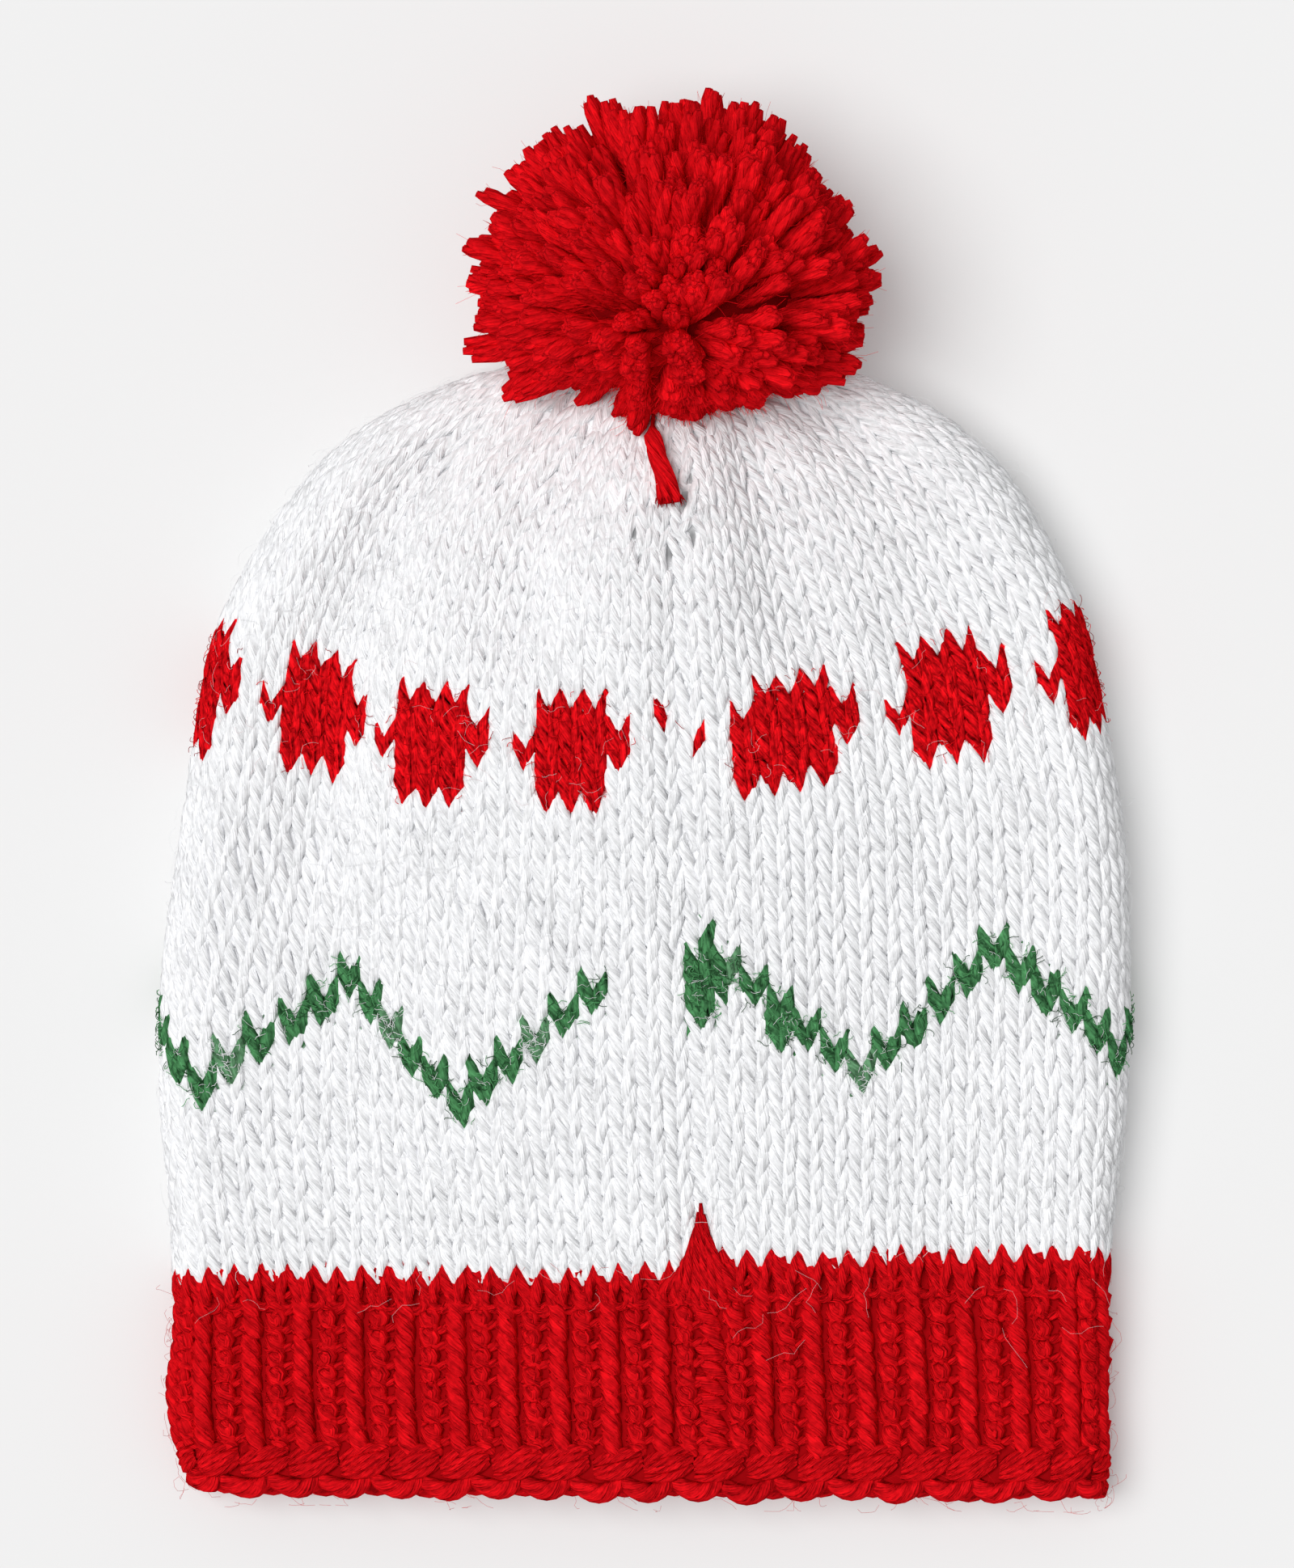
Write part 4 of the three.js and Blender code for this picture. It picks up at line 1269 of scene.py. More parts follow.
def ply_group():
    """Twisted plies and fibres of a yarn: height for bump, and for colour painted shade in the grooves
    between plies with streaks and patches of tone.
    """
    group = bpy.data.node_groups.get("yarn_ply")
    if group:
        return group
    group = bpy.data.node_groups.new("yarn_ply", "ShaderNodeTree")
    group.interface.new_socket("Turn", in_out="INPUT", socket_type="NodeSocketVector")
    for name in ("Along", "Plies", "Pitch"):
        group.interface.new_socket(name, in_out="INPUT", socket_type="NodeSocketFloat")
    for name in ("Height", "Shade"):
        group.interface.new_socket(name, in_out="OUTPUT", socket_type="NodeSocketFloat")
    nodes, links = group.nodes, group.links
    calc = functools.partial(math_node, nodes, links)
    source = nodes.new("NodeGroupInput")
    result = nodes.new("NodeGroupOutput")
    along = source.outputs["Along"]
    turn = node(nodes, "ShaderNodeSeparateXYZ")
    links.new(source.outputs["Turn"], turn.inputs[0])
    wound = calc("MULTIPLY", calc("ARCTAN2", turn.outputs["Y"], turn.outputs["X"]), source.outputs["Plies"])
    spun = calc("MULTIPLY", calc("DIVIDE", along, source.outputs["Pitch"]), 2 * math.pi)
    phase = calc("ADD", wound, spun)
    wave = calc("ABSOLUTE", calc("COSINE", calc("MULTIPLY", phase, 0.5)))
    ply = calc("POWER", wave, PLY_BLUNT)
    thread = calc("ABSOLUTE", calc("COSINE", calc("MULTIPLY", phase, THREADS_IN_PLY / 2)))
    streak = noise_node(nodes, links, STREAK_SCALE, STREAK_DETAIL,
                        X=calc("MULTIPLY", phase, STREAK_ROUND), Y=calc("MULTIPLY", along, STREAK_ALONG))
    patch = noise_node(nodes, links, PATCH_SCALE, PATCH_DETAIL, X=turn.outputs["X"], Y=turn.outputs["Y"],
                       Z=calc("MULTIPLY", along, PATCH_ALONG))
    threads = calc("MULTIPLY_ADD", thread, THREAD_HEIGHT, ply)
    height = calc("MULTIPLY_ADD", streak, STREAK_HEIGHT, threads)
    # Painted shade: darker in the grooves between plies, lighter on their crests
    dimmed = calc("MULTIPLY_ADD", threads, PLY_PAINTED_SHADE, GROOVE_PAINTED_SHADE)
    streaked = calc("MULTIPLY_ADD", streak, STREAK_SHADE, dimmed)
    links.new(height, result.inputs["Height"])
    links.new(calc("MULTIPLY_ADD", patch, PATCH_SHADE, streaked), result.inputs["Shade"])
    return group


def matt_material(name, roughness):
    """A new material without any shine: the material, its nodes, its links and its shader."""
    material = bpy.data.materials.new(name)
    material.use_nodes = True
    nodes, links = material.node_tree.nodes, material.node_tree.links
    shader = nodes["Principled BSDF"]
    shader.inputs["Roughness"].default_value = roughness
    shader.inputs["Specular IOR Level"].default_value = 0.0
    return material, nodes, links, shader


def yarn_material(name):
    """Matt yarn dyed by the piece's own attribute; the plies' painted shade and the fibre streaks show more
    in strong dyes.
    """
    plies, pitch, pale_contrast, dyed_contrast, bump_strength = YARNS[name]
    material, nodes, links, shader = matt_material(name, YARN_ROUGHNESS)
    calc = functools.partial(math_node, nodes, links)
    dye = node(nodes, "ShaderNodeAttribute", attribute_name="dye")
    turn = node(nodes, "ShaderNodeAttribute", attribute_name="turn")
    along = node(nodes, "ShaderNodeAttribute", attribute_name="along")
    ply = node(nodes, "ShaderNodeGroup", node_tree=ply_group())
    ply.inputs["Plies"].default_value = plies
    ply.inputs["Pitch"].default_value = pitch
    links.new(turn.outputs["Vector"], ply.inputs["Turn"])
    links.new(along.outputs["Fac"], ply.inputs["Along"])
    # Blue is strong in the pale dye alone, so it tells how pale the yarn is
    parts = node(nodes, "ShaderNodeSeparateColor")
    links.new(dye.outputs["Color"], parts.inputs["Color"])
    paler = calc("MULTIPLY", parts.outputs["Blue"], pale_contrast - dyed_contrast)
    contrast = calc("ADD", paler, dyed_contrast)
    darker = calc("SUBTRACT", ply.outputs["Shade"], 1.0)
    tint = node(nodes, "ShaderNodeVectorMath", operation="SCALE")
    links.new(dye.outputs["Color"], tint.inputs["Vector"])
    links.new(calc("MULTIPLY_ADD", darker, contrast, 1.0), tint.inputs["Scale"])
    links.new(tint.outputs["Vector"], shader.inputs["Base Color"])
    bump = node(nodes, "ShaderNodeBump")
    bump.inputs["Strength"].default_value = bump_strength
    bump.inputs["Distance"].default_value = YARN_BUMP
    links.new(ply.outputs["Height"], bump.inputs["Height"])
    links.new(bump.outputs["Normal"], shader.inputs["Normal"])
    return material


def fibre_material(name):
    """Single loose fibres, dyed by their attribute."""
    material, nodes, links, shader = matt_material(name, FIBRE_ROUGHNESS)
    dye = node(nodes, "ShaderNodeAttribute", attribute_name="dye")
    links.new(dye.outputs["Color"], shader.inputs["Base Color"])
    return material


def wall_material(name):
    """The reverse of the knitting, dyed by its attribute, with a soft pebbled bump."""
    material, nodes, links, shader = matt_material(name, WALL_ROUGHNESS)
    dye = node(nodes, "ShaderNodeAttribute", attribute_name="dye")
    place = node(nodes, "ShaderNodeTexCoord")
    pebble = node(nodes, "ShaderNodeTexVoronoi")
    pebble.inputs["Scale"].default_value = PEBBLE_SCALE
    links.new(place.outputs["Object"], pebble.inputs["Vector"])
    bump = node(nodes, "ShaderNodeBump", invert=True)
    bump.inputs["Strength"].default_value = PEBBLE_BUMP
    bump.inputs["Distance"].default_value = PEBBLE_HEIGHT
    links.new(pebble.outputs["Distance"], bump.inputs["Height"])
    links.new(bump.outputs["Normal"], shader.inputs["Normal"])
    links.new(dye.outputs["Color"], shader.inputs["Base Color"])
    return material


def floor_material(colours, glow):
    """Pale matt floor that glows a little, as a light table does."""
    material, _, _, shader = matt_material("pale_floor", FLOOR_ROUGHNESS)
    shader.inputs["Base Color"].default_value = (*colours.floor, 1)
    shader.inputs["Emission Color"].default_value = (1, 1, 1, 1)
    shader.inputs["Emission Strength"].default_value = glow
    return material


def normalised(vectors):
    """Vectors brought to a length of one."""
    return vectors / np.linalg.norm(vectors, axis=-1, keepdims=True)


def sideways(axis, rng):
    """A random direction square to an axis."""
    off = rng.normal(0, 1, 3)
    return normalised(off - axis * (off @ axis))


def pompom_outline(points):
    """How far points lie towards the pompom's outline: 1 on it, less inside; in local millimetres."""
    side, away, towards, up = POMPOM_REACH
    off = points - np.array(POMPOM_CENTRE)
    along = np.where(off[:, 1] > 0, away, towards)
    scale = np.column_stack((np.full(len(off), side), along, np.full(len(off), up)))
    return np.linalg.norm(off / scale, axis=1)


def pompom_lengths(directions):
    """Distance from the tie to the pompom's outline along directions, in millimetres."""
    low = np.zeros(len(directions))
    high = np.full(len(directions), OUTLINE_FAR)
    tie = np.array(POMPOM_TIE)
    for _ in range(OUTLINE_HALVINGS):
        middle = (low + high) / 2
        inside = pompom_outline(tie + directions * middle[:, None]) < 1
        low = np.where(inside, middle, low)
        high = np.where(inside, high, middle)
    return low


def sphere_directions(count):
    """Evenly spread directions."""
    index = np.arange(count)
    height = 1 - 2 * (index + 0.5) / count
    angle = index * math.pi * (3 - math.sqrt(5))
    ring = np.sqrt(1 - height * height)
    return np.column_stack((ring * np.cos(angle), ring * np.sin(angle), height))


class CrownHeights:
    """Height of the crown's top and underside over the floor, for yarn that lies on it."""

    def __init__(self, form):
        crown = form.points[form.rows > CROWN_ROW].reshape(-1, 3)
        self.low = crown[:, :2].min(axis=0)
        cells = ((crown[:, :2] - self.low) / CROWN_CELL).astype(int)
        shape = cells.max(axis=0) + 2
        self.top = np.full(shape, NO_TOP)
        self.under = np.full(shape, NO_UNDER)
        np.maximum.at(self.top, (cells[:, 0], cells[:, 1]), crown[:, 2])
        np.minimum.at(self.under, (cells[:, 0], cells[:, 1]), crown[:, 2])

    def push_out(self, points, radius):
        """Moves points out of the crown, over it or under it; says whether they fit."""
        cells = np.floor((points[:, :2] - self.low) / CROWN_CELL).astype(int)
        inside = np.all((cells >= 0) & (cells < np.array(self.top.shape)), axis=1)
        cells = np.clip(cells, 0, np.array(self.top.shape) - 1)
        top = self.top[cells[:, 0], cells[:, 1]]
        under = self.under[cells[:, 0], cells[:, 1]]
        over = inside & (top > 0)
        above = over & (points[:, 2] >= (top + under) / 2)
        below = over & ~above
        moved = points.copy()
        moved[above, 2] = np.maximum(moved[above, 2], top[above] + radius)
        moved[below, 2] = np.minimum(moved[below, 2], under[below] - radius)
        moved[:, 2] = np.where(below, moved[:, 2], np.maximum(moved[:, 2], radius))
        return moved, bool(np.all(moved[:, 2] >= radius * CROWN_FIT))


def strand_directions(count, rng):
    """Evenly spread directions for the cut ends, drawn a little together in clumps."""
    directions = normalised(sphere_directions(count) + rng.normal(0, STRAND_SCATTER, (count, 3)))
    clump_count = count // CLUMP_STRANDS
    clumps = sphere_directions(clump_count) + rng.normal(0, CLUMP_SCATTER, (clump_count, 3))
    nearest = clumps[np.argmax(directions @ clumps.T, axis=1)]
    return normalised(directions + CLUMP_PULL * (nearest - directions))


def make_pompom_strands(form, sizes, colours):
    """Cut ends of yarn from inside the head to the pompom's outline, and the fibres that fray from them."""
    rng = np.random.default_rng(sizes.seed)
    # Painted light: the same red yarn as the dots, made brighter for the pompom
    red = np.array(colours.red) * POMPOM_RED_PAINTED_LIGHT
    crown = CrownHeights(form)
    paths, hairs = YarnPaths(), YarnPaths()
    directions = strand_directions(sizes.strands, rng)
    share = STRAND_PROFILE[:, :1]
    tie = form.local(*POMPOM_TIE)
    for direction, far in zip(directions, pompom_lengths(directions)):
        tip = tie + direction * far * MM * min(rng.normal(*STRAND_LENGTH), STRAND_LONGEST)
        root = tie + np.array((0, 0, ROOT_RISE * MM * max(direction[2], 0)))
        bend = np.cross(tip - root, rng.normal(0, STRAND_BEND, 3))
        line = root + (tip - root) * share + bend * (share - share[0]) ** 2
        line = clear_of_notch(form, part_at_cleft(form, line))
        radius = sizes.strand_radius * rng.normal(1, STRAND_SCATTER_THICK)
        line, fits = crown.push_out(line, radius)
        if fits:
            dye = red * rng.normal(1, STRAND_TONES)
            add_strand(paths, line, radius, dye, rng)
            add_frayed_tip(hairs, line, radius, dye, TIP_HAIRS, rng)
            add_side_hairs(hairs, line, radius, dye, SIDE_HAIRS, rng)
    for tip in TUFTS:
        for _ in range(TUFT_STRANDS):
            end = tie + (form.local(*tip) - tie) * TUFT_REACH + rng.normal(0, TUFT_SPREAD, 3) * MM
            add_lone_strand(paths, hairs, tie + (end - tie) * TUFT_ROOT, end, crown, sizes, red, rng)
    for root, tip in HANGING_STRANDS:
        add_lone_strand(paths, hairs, form.local(*root), form.local(*tip), crown, sizes, red, rng)
    return paths, hairs


def add_lone_strand(paths, hairs, root, tip, crown, sizes, dye, rng):
    """A cut end that stands out by itself from a root to a tip."""
    share = np.linspace(0, 1, len(STRAND_PROFILE))[:, None]
    radius = sizes.strand_radius
    line = crown.push_out(root + (tip - root) * share, radius)[0]
    add_strand(paths, line, radius, dye, rng)
    add_frayed_tip(hairs, line, radius, dye, LONE_TIP_HAIRS, rng)
    add_side_hairs(hairs, line, radius, dye, LONE_SIDE_HAIRS, rng)


def add_strand(paths, line, radius, dye, rng):
    """One cut end of yarn: plies twisted round its middle line, opened and uneven at the tip."""
    share, thick, apart, shade = STRAND_PROFILE.T
    axis = normalised(line[-1] - line[0])
    across = normalised(np.cross(axis, rng.normal(0, 1, 3)))
    upright = np.cross(axis, across)
    for ply in range(STRAND_PLIES):
        angle = 2 * math.pi * ply / STRAND_PLIES + STRAND_TWIST * share
        away = across * np.cos(angle)[:, None] + upright * np.sin(angle)[:, None]
        stagger = axis * rng.normal(0, PLY_STAGGER) * MM * (share ** 3)[:, None]
        points = line + away * (radius * apart)[:, None] + stagger
        points[:, 2] = np.maximum(points[:, 2], radius * thick)
        # Painted shade: each ply is darker towards its root, where the pompom is shaded
        paths.add(points, radius * thick, dye * shade[:, None] * rng.normal(1, PLY_TONES))


def clear_of_notch(form, line):
    """Draws a strand back where the pompom's lower left edge leaves the crown bare."""
    tip_x, tip_y = (line[-1, :2] - form.offset[:2]) / MM
    if NOTCH_LEFT < tip_x < NOTCH_RIGHT and tip_y < NOTCH_FLOOR:
        tie = form.local(*POMPOM_TIE)
        shorter = (POMPOM_TIE[1] - NOTCH_FLOOR) / (POMPOM_TIE[1] - tip_y)
        return tie + (line - tie) * shorter
    return line


def part_at_cleft(form, line):
    """Moves a strand's points away from the cleft on the side that faces the crown."""
    off = line[:, 0] / MM - form.offset[0] / MM - CLEFT_X
    below = smoothstep(form.offset[1] / MM + CLEFT_TOP - line[:, 1] / MM, 0, CLEFT_FADE)
    moved = line.copy()
    moved[:, 0] += np.sign(off) * CLEFT_PUSH * MM * below * np.exp(-(off / CLEFT_WIDTH) ** 2)
    return moved


def add_hair(hairs, points, radius, dye):
    """One fibre through a few points, kept above the floor."""
    points = np.array(points)
    points[:, 2] = np.maximum(points[:, 2], HAIR_FLOOR)
    hairs.add(points, radius, dye)


def add_frayed_tip(hairs, line, radius, dye, count, rng):
    """Short fibres that stand in a brush round the cut end of a strand."""
    axis = normalised(line[-1] - line[-3])
    for _ in range(count):
        off = sideways(axis, rng)
        root = line[-2] + off * radius * rng.uniform(*TIP_ROOT)
        tip = root + axis * radius * rng.uniform(*TIP_LENGTH) + off * radius * rng.uniform(*TIP_SPREAD)
        add_hair(hairs, (root, (root + tip) / 2, tip), TIP_RADIUS, dye)


def add_side_hairs(hairs, line, radius, dye, count, rng):
    """Fine fuzz along the outer half of a strand."""
    for _ in range(count):
        place = rng.integers(SIDE_FIRST, len(line) - 1)
        axis = normalised(line[place] - line[place - 1])
        off = sideways(axis, rng)
        points = [line[place] + off * radius * SIDE_ROOT]
        for out, onward in SIDE_STEPS:
            step = off * radius * rng.uniform(*out)
            points.append(points[-1] + step + axis * radius * rng.uniform(*onward))
        # Painted light: fine fibres are drawn lighter than the strand they fray from
        add_hair(hairs, points, SIDE_RADIUS, dye * SIDE_PAINTED_LIGHT)


def make_pompom_head(form, sizes, colours, material):
    """The dense middle of the pompom behind the cut ends, in dark red as painted shade between them."""
    angles = np.linspace(0, 2 * math.pi, HEAD_COLUMNS, endpoint=False)
    tie = form.local(*POMPOM_TIE)
    rings = []
    for height in np.cos(np.linspace(HEAD_POLE, math.pi - HEAD_POLE, HEAD_RINGS)):
        ring = math.sqrt(1 - height * height)
        heights = np.full(HEAD_COLUMNS, height)
        directions = np.column_stack((ring * np.cos(angles), ring * np.sin(angles), heights))
        points = tie + directions * (pompom_lengths(directions) * MM * sizes.head_share)[:, None]
        points[:, 2] = np.maximum(points[:, 2], HEAD_FLOOR)
        rings.append(points)
    # Painted shade: the head is dark red for the shade deep among the cut ends
    dark = np.broadcast_to(np.array(colours.red) * HEAD_PAINTED_SHADE, (HEAD_COLUMNS, 3))
    return shell_object("pompom_head", rings, [dark] * len(rings), False, material)


def make_tie_end(form, colours):
    """The end of the tie yarn, opened at its cut tip, lying on the crown."""
    rng = np.random.default_rng(TIE_SEED)
    # Painted light: the tie is the same red yarn, made brighter as for the band
    red = np.array(colours.red) * BAND_RED_PAINTED_LIGHT
    stitch, row = np.array(TIE_PATH).T
    order = np.arange(len(stitch))
    fine = np.linspace(0, len(stitch) - 1, TIE_POINTS)
    share = np.linspace(0, 1, TIE_POINTS)
    past_neck = smoothstep(share, *TIE_NECK)
    spread = (TIE_APART + TIE_APART_BODY * past_neck + TIE_APART_TIP * smoothstep(share, TIE_OPENS, 1)) * MM
    radius = (TIE_RADIUS + TIE_RADIUS_BODY * past_neck + TIE_RADIUS_TIP * share) * MM
    radius *= np.where(share > TIE_ROUNDS, TIE_END_THICK, 1)
    points, normals = form.at(np.interp(fine, order, stitch), np.interp(fine, order, row))
    points = points + normals * (spread + TIE_LIFT)[:, None]
    across = normalised(np.cross(normalised(np.gradient(points, axis=0)), normals))
    paths = YarnPaths()
    for ply in range(TIE_PLIES):
        angle = 2 * math.pi * ply / TIE_PLIES + TIE_TWIST * share * (1 - TIE_LOOSER * share)
        turned = across * np.cos(angle)[:, None] + normals * np.sin(angle)[:, None] * TIE_FLAT
        line = points + turned * spread[:, None]
        paths.add(line, radius, red * rng.normal(1, TIE_TONES))
        add_frayed_tip(paths, line, TIE_HAIR_REACH, red, TIE_HAIRS, rng)
    return paths


def add_surface_fibre(paths, form, stitch, row, length, lift, radius, dye, rng):
    """One curled loose fibre that leaves the fabric and comes back to it."""
    share = np.linspace(0, 1, FIBRE_POINTS)
    heading = rng.uniform(0, 2 * math.pi) + np.cumsum(rng.normal(0, FIBRE_CURL, FIBRE_POINTS))
    step = length / FIBRE_POINTS / FIBRE_GAUGE
    stitches = stitch + np.cumsum(np.cos(heading)) * step
    rows = np.clip(row + np.cumsum(np.sin(heading)) * step, EDGE_ROW, LAST_ROW)
    points, normals = form.at(stitches, rows)
    arc = lift * np.sin(math.pi * share * rng.uniform(*FIBRE_ARC)) - FIBRE_ROOT
    points = points + normals * arc[:, None]
    points[:, 2] = np.maximum(points[:, 2], FIBRE_FLOOR)
    paths.add(points, radius, dye)


def warped(stitch, row):
    """Where the lying fabric carries a place of the chart."""
    return stitch + float(drawn_columns(stitch, row)), row + float(lifted_rows(stitch, row))


def near_colour(stitch, row):
    """Whether a place of the chart or its neighbours are dyed."""
    reach = (-1, 0, 1)
    near = [(math.floor(2 * (stitch + across)), math.floor(row + up)) for across in reach for up in reach]
    return any(pattern_yarn(*place) != WHITE_YARN for place in near)


def make_loose_fibres(form, sizes, colours):
    """Fuzz: fibres of every yarn over the body, the dots, the band and their meeting line."""
    rng = np.random.default_rng(FIBRE_SEED)
    white, red, green = np.array(colours.white), np.array(colours.red), np.array(colours.green)
    haze = red * HAZE_RED + white * (1 - HAZE_RED)
    thin = sizes.fibre_radius
    paths = YarnPaths()

    def grow(place, lengths, lift, thick, dye):
        """One fibre from a place in stitches and rows; its lift is fixed or drawn from a spread."""
        length = rng.uniform(*lengths) * MM
        height = rng.gamma(*lift) * MM if isinstance(lift, tuple) else lift
        add_surface_fibre(paths, form, *place, length, height, thin * thick, dye, rng)

    for _ in range(sizes.fibres):
        stitch, row = rng.uniform(*BACK_COLUMNS), rng.uniform(*WHITE_ROWS)
        if not near_colour(stitch, row):
            grow(warped(stitch, row), PLAIN_LENGTH, WHITE_LIFT, 1, white)
    for _ in range(sizes.fibres // RED_PART):
        place = rng.uniform(*BACK_COLUMNS), rng.uniform(*RED_ROWS)
        grow(place, PLAIN_LENGTH, RED_LIFT, 1, red * RED_FIBRE_BRIGHTER)
    for _ in range(sizes.fibres // EDGE_PART):
        place = rng.uniform(*BACK_COLUMNS), rng.normal(*EDGE_ROWS)
        grow(place, EDGE_LENGTH, EDGE_LIFT, HAZE_THICK, haze)
    over_green = [(*TONES_OVER_GREEN, green * tone) for tone in FIBRE_TONES]
    covering = {
        GREEN_YARN: over_green + [(*WHITE_OVER_GREEN, white)],
        FADED_YARN: [(*WHITE_OVER_FADED, white)],
        RED_YARN: [(*TONES_OVER_RED, red * tone) for tone in RED_FIBRE_TONES],
    }
    for column in range(*BACK_COLUMNS):
        for row in range(ZIGZAG_LOW_ROW, int(LAST_ROW)):
            for count, thick, dye in covering.get(pattern_yarn(2 * column, row), ()):
                for _ in range(count):
                    place = warped(column + rng.uniform(0, 1), row + rng.uniform(*STITCH_SPAN))
                    grow(place, STITCH_LENGTH, STITCH_LIFT, thick, dye)
    dots = [(DOT_LEFT_MIDDLE - DOT_REPEAT * index, 0) for index in range(DOTS_LEFT)]
    dots += [(DOT_RIGHT_MIDDLE + DOT_REPEAT * index, SEAM_JOG) for index in range(DOTS_RIGHT)]
    for column, jog in dots:
        middle, level = column + DOT_MIDDLE[0], DOT_LOW_ROW + jog + DOT_MIDDLE[1]
        for index in range(sizes.dot_fibres):
            turn = rng.uniform(0, 2 * math.pi)
            reach = rng.normal(DOT_RINGS[index % 2], DOT_RING_SCATTER)
            dye = haze if index % DOT_PALE_EVERY else white * DOT_PALE_SHADE
            place = warped(middle + math.cos(turn) * reach, level + math.sin(turn) * reach)
            grow(place, DOT_LENGTH, DOT_LIFT, HAZE_THICK, dye)
    return paths


class CAP_OT_stage(bpy.types.Operator):
    """Floor, soft light and the camera straight above"""

    bl_idname = "cap.stage"
    bl_label = "Stage"

    def execute(self, context):
        scene = context.scene
        self.add_floor(scene)
        self.add_light(scene)
        self.add_camera(scene)
        scene.view_settings.view_transform = "Standard"
        return {"FINISHED"}

    @staticmethod
    def add_floor(scene):
        """Flat floor that the cap lies on."""
        mesh = bpy.data.meshes.new("floor")
        low, high = -FLOOR_REACH, FLOOR_REACH
        mesh.from_pydata([(low, low, 0), (high, low, 0), (high, high, 0), (low, high, 0)], [], [(0, 1, 2, 3)])
        mesh.materials.append(floor_material(scene.cap_colours, scene.cap_stage.floor_glow))
        floor = bpy.data.objects.new("floor", mesh)
        scene.collection.objects.link(floor)

    @staticmethod
    def add_light(scene):
        """Soft light from the left, the same over the whole floor, and even light from all round."""
        sizes = scene.cap_stage
        data = bpy.data.lights.new("key", "SUN")
        data.energy = sizes.key
        data.angle = sizes.key_softness
        light = bpy.data.objects.new("key", data)
        light.rotation_euler = (0, -sizes.key_lean, sizes.key_turn)
        scene.collection.objects.link(light)
        world = bpy.data.worlds.new("studio")
        world.use_nodes = True
        background = world.node_tree.nodes["Background"]
        background.inputs["Color"].default_value = (1, 1, 1, 1)
        background.inputs["Strength"].default_value = sizes.fill
        scene.world = world

    @staticmethod
    def add_camera(scene):
        """Camera that looks straight down at the picture's middle."""
        sizes = scene.cap_stage
        offset = CapForm().offset
        data = bpy.data.cameras.new("camera")
        data.sensor_fit = "AUTO"
        data.lens = data.sensor_width * sizes.camera_height / sizes.frame_height
        camera = bpy.data.objects.new("camera", data)
        scene.collection.objects.link(camera)
        camera.location = (offset[0], sizes.middle_y + offset[1], sizes.camera_height)
        scene.camera = camera


class CAP_OT_knit_body(bpy.types.Operator):
    """White stocking stitch with red dots and a green zigzag, and its reverse"""

    bl_idname = "cap.knit_body"
    bl_label = "Knit body"

    def execute(self, context):
        scene = context.scene
        sizes, colours = scene.cap_knit, scene.cap_colours
        form = CapForm()
        yarn = yarn_material("body_yarn")
        for name, columns, rows, per_stitch, sides, seed, nodes in BODY_PIECES:
            paths = make_body_stitches(form, sizes, colours, columns, rows, per_stitch, seed)
            place_piece(sweep_yarn(paths, name, sides, yarn), "body_yarn", *nodes)
        wall = make_body_wall(form, sizes, colours, wall_material("body_reverse"))
        place_piece(wall, "body_yarn")
        return {"FINISHED"}


class CAP_OT_ribbed_band(bpy.types.Operator):
    """Red ribs with a looped cast-on edge"""

    bl_idname = "cap.ribbed_band"
    bl_label = "Ribbed band"

    def execute(self, context):
        scene = context.scene
        sizes, colours = scene.cap_knit, scene.cap_colours
        form = CapForm()
        paths = make_band_stitches(form, sizes, colours)
        band = sweep_yarn(paths, "band_stitches", BAND_SIDES, yarn_material("band_yarn"))
        core = make_band_wall(form, colours, wall_material("band_core"))
        place_piece(band, "band_yarn", "ribbed_band")
        place_piece(core, "band_yarn")
        return {"FINISHED"}


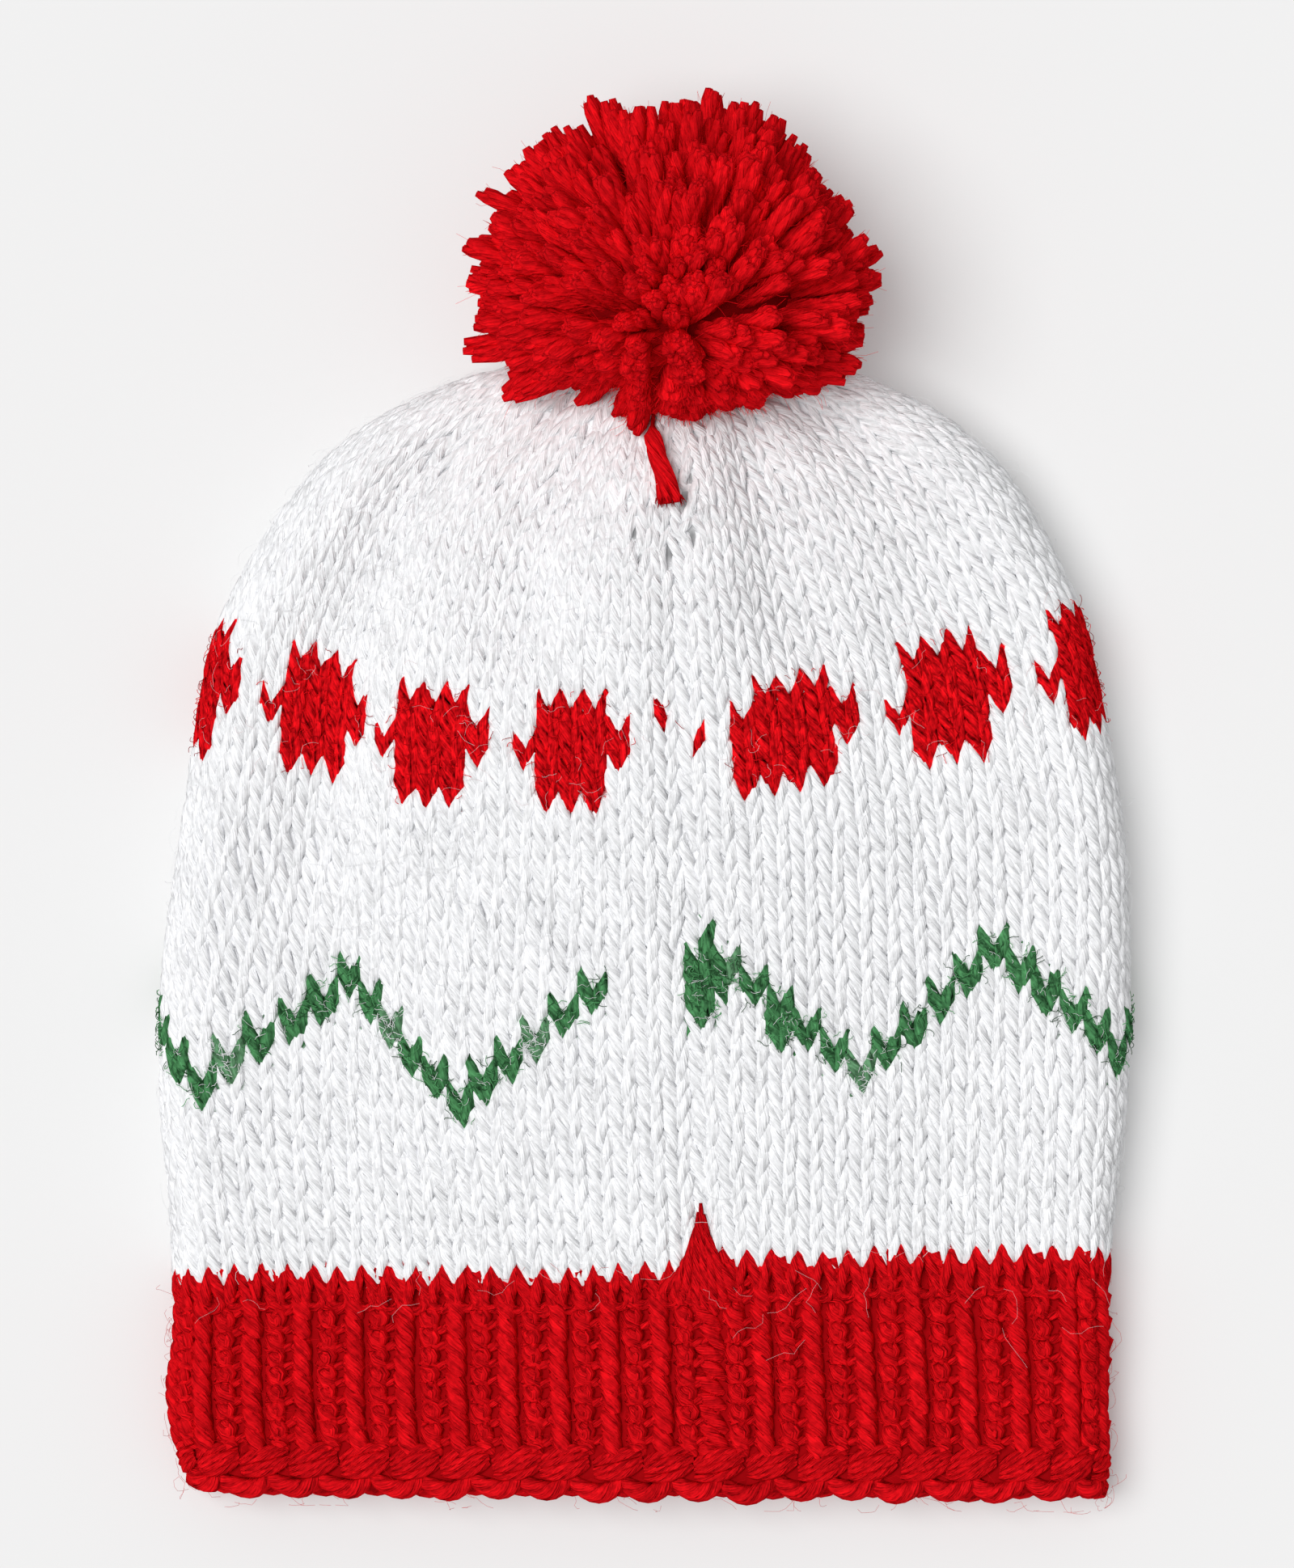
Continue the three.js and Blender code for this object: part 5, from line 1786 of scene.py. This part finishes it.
class CAP_OT_pompom(bpy.types.Operator):
    """Cut ends of red yarn on a dense head, with the tie's end"""

    bl_idname = "cap.pompom"
    bl_label = "Pompom"

    def execute(self, context):
        scene = context.scene
        sizes, colours = scene.cap_pompom, scene.cap_colours
        form = CapForm()
        yarn = yarn_material("pompom_yarn")
        strands, hairs = make_pompom_strands(form, sizes, colours)
        place_piece(sweep_yarn(strands, "pompom_strands", STRAND_SIDES, yarn), "pompom_yarn", "pompom")
        fray = sweep_yarn(hairs, "pompom_fray", FIBRE_SIDES, fibre_material("pompom_fibre"))
        place_piece(fray, "pompom_yarn")
        head = make_pompom_head(form, sizes, colours, wall_material("pompom_head"))
        place_piece(head, "pompom_yarn")
        tie = sweep_yarn(make_tie_end(form, colours), "tie_end_strand", TIE_SIDES, yarn)
        place_piece(tie, "pompom_yarn", "tie_end")
        return {"FINISHED"}


class CAP_OT_loose_fibres(bpy.types.Operator):
    """Fuzz over the body and band"""

    bl_idname = "cap.loose_fibres"
    bl_label = "Loose fibres"

    def execute(self, context):
        scene = context.scene
        paths = make_loose_fibres(CapForm(), scene.cap_knit, scene.cap_colours)
        fuzz = sweep_yarn(paths, "loose_fibres", FIBRE_SIDES, fibre_material("loose_fibre"))
        place_piece(fuzz, "body_yarn")
        return {"FINISHED"}


class CAP_PT_panel(bpy.types.Panel):
    """Lists the cap's pieces"""

    bl_label = "Knit cap"
    bl_idname = "CAP_PT_panel"
    bl_space_type = "VIEW_3D"
    bl_region_type = "UI"
    bl_category = "Cap"

    def draw(self, context):
        for operator in OPERATORS:
            self.layout.operator(operator.bl_idname)


OPERATORS = (CAP_OT_stage, CAP_OT_knit_body, CAP_OT_ribbed_band, CAP_OT_pompom, CAP_OT_loose_fibres)
SETTINGS = {
    "cap_knit": KnitSizes,
    "cap_pompom": PompomSizes,
    "cap_colours": YarnColours,
    "cap_stage": StageSizes,
}
CLASSES = (*SETTINGS.values(), *OPERATORS, CAP_PT_panel)


def register():
    """Makes the classes and the scene's settings known."""
    for item in CLASSES:
        bpy.utils.register_class(item)
    for name, group in SETTINGS.items():
        setattr(bpy.types.Scene, name, bpy.props.PointerProperty(type=group))


def unregister():
    """Takes the settings and the classes away again."""
    for name in SETTINGS:
        delattr(bpy.types.Scene, name)
    for item in reversed(CLASSES):
        bpy.utils.unregister_class(item)


def main():
    """Dresses the cap piece by piece."""
    register()
    bpy.ops.cap.stage()
    bpy.ops.cap.knit_body()
    bpy.ops.cap.ribbed_band()
    bpy.ops.cap.pompom()
    bpy.ops.cap.loose_fibres()


if __name__ == "__main__":
    main()
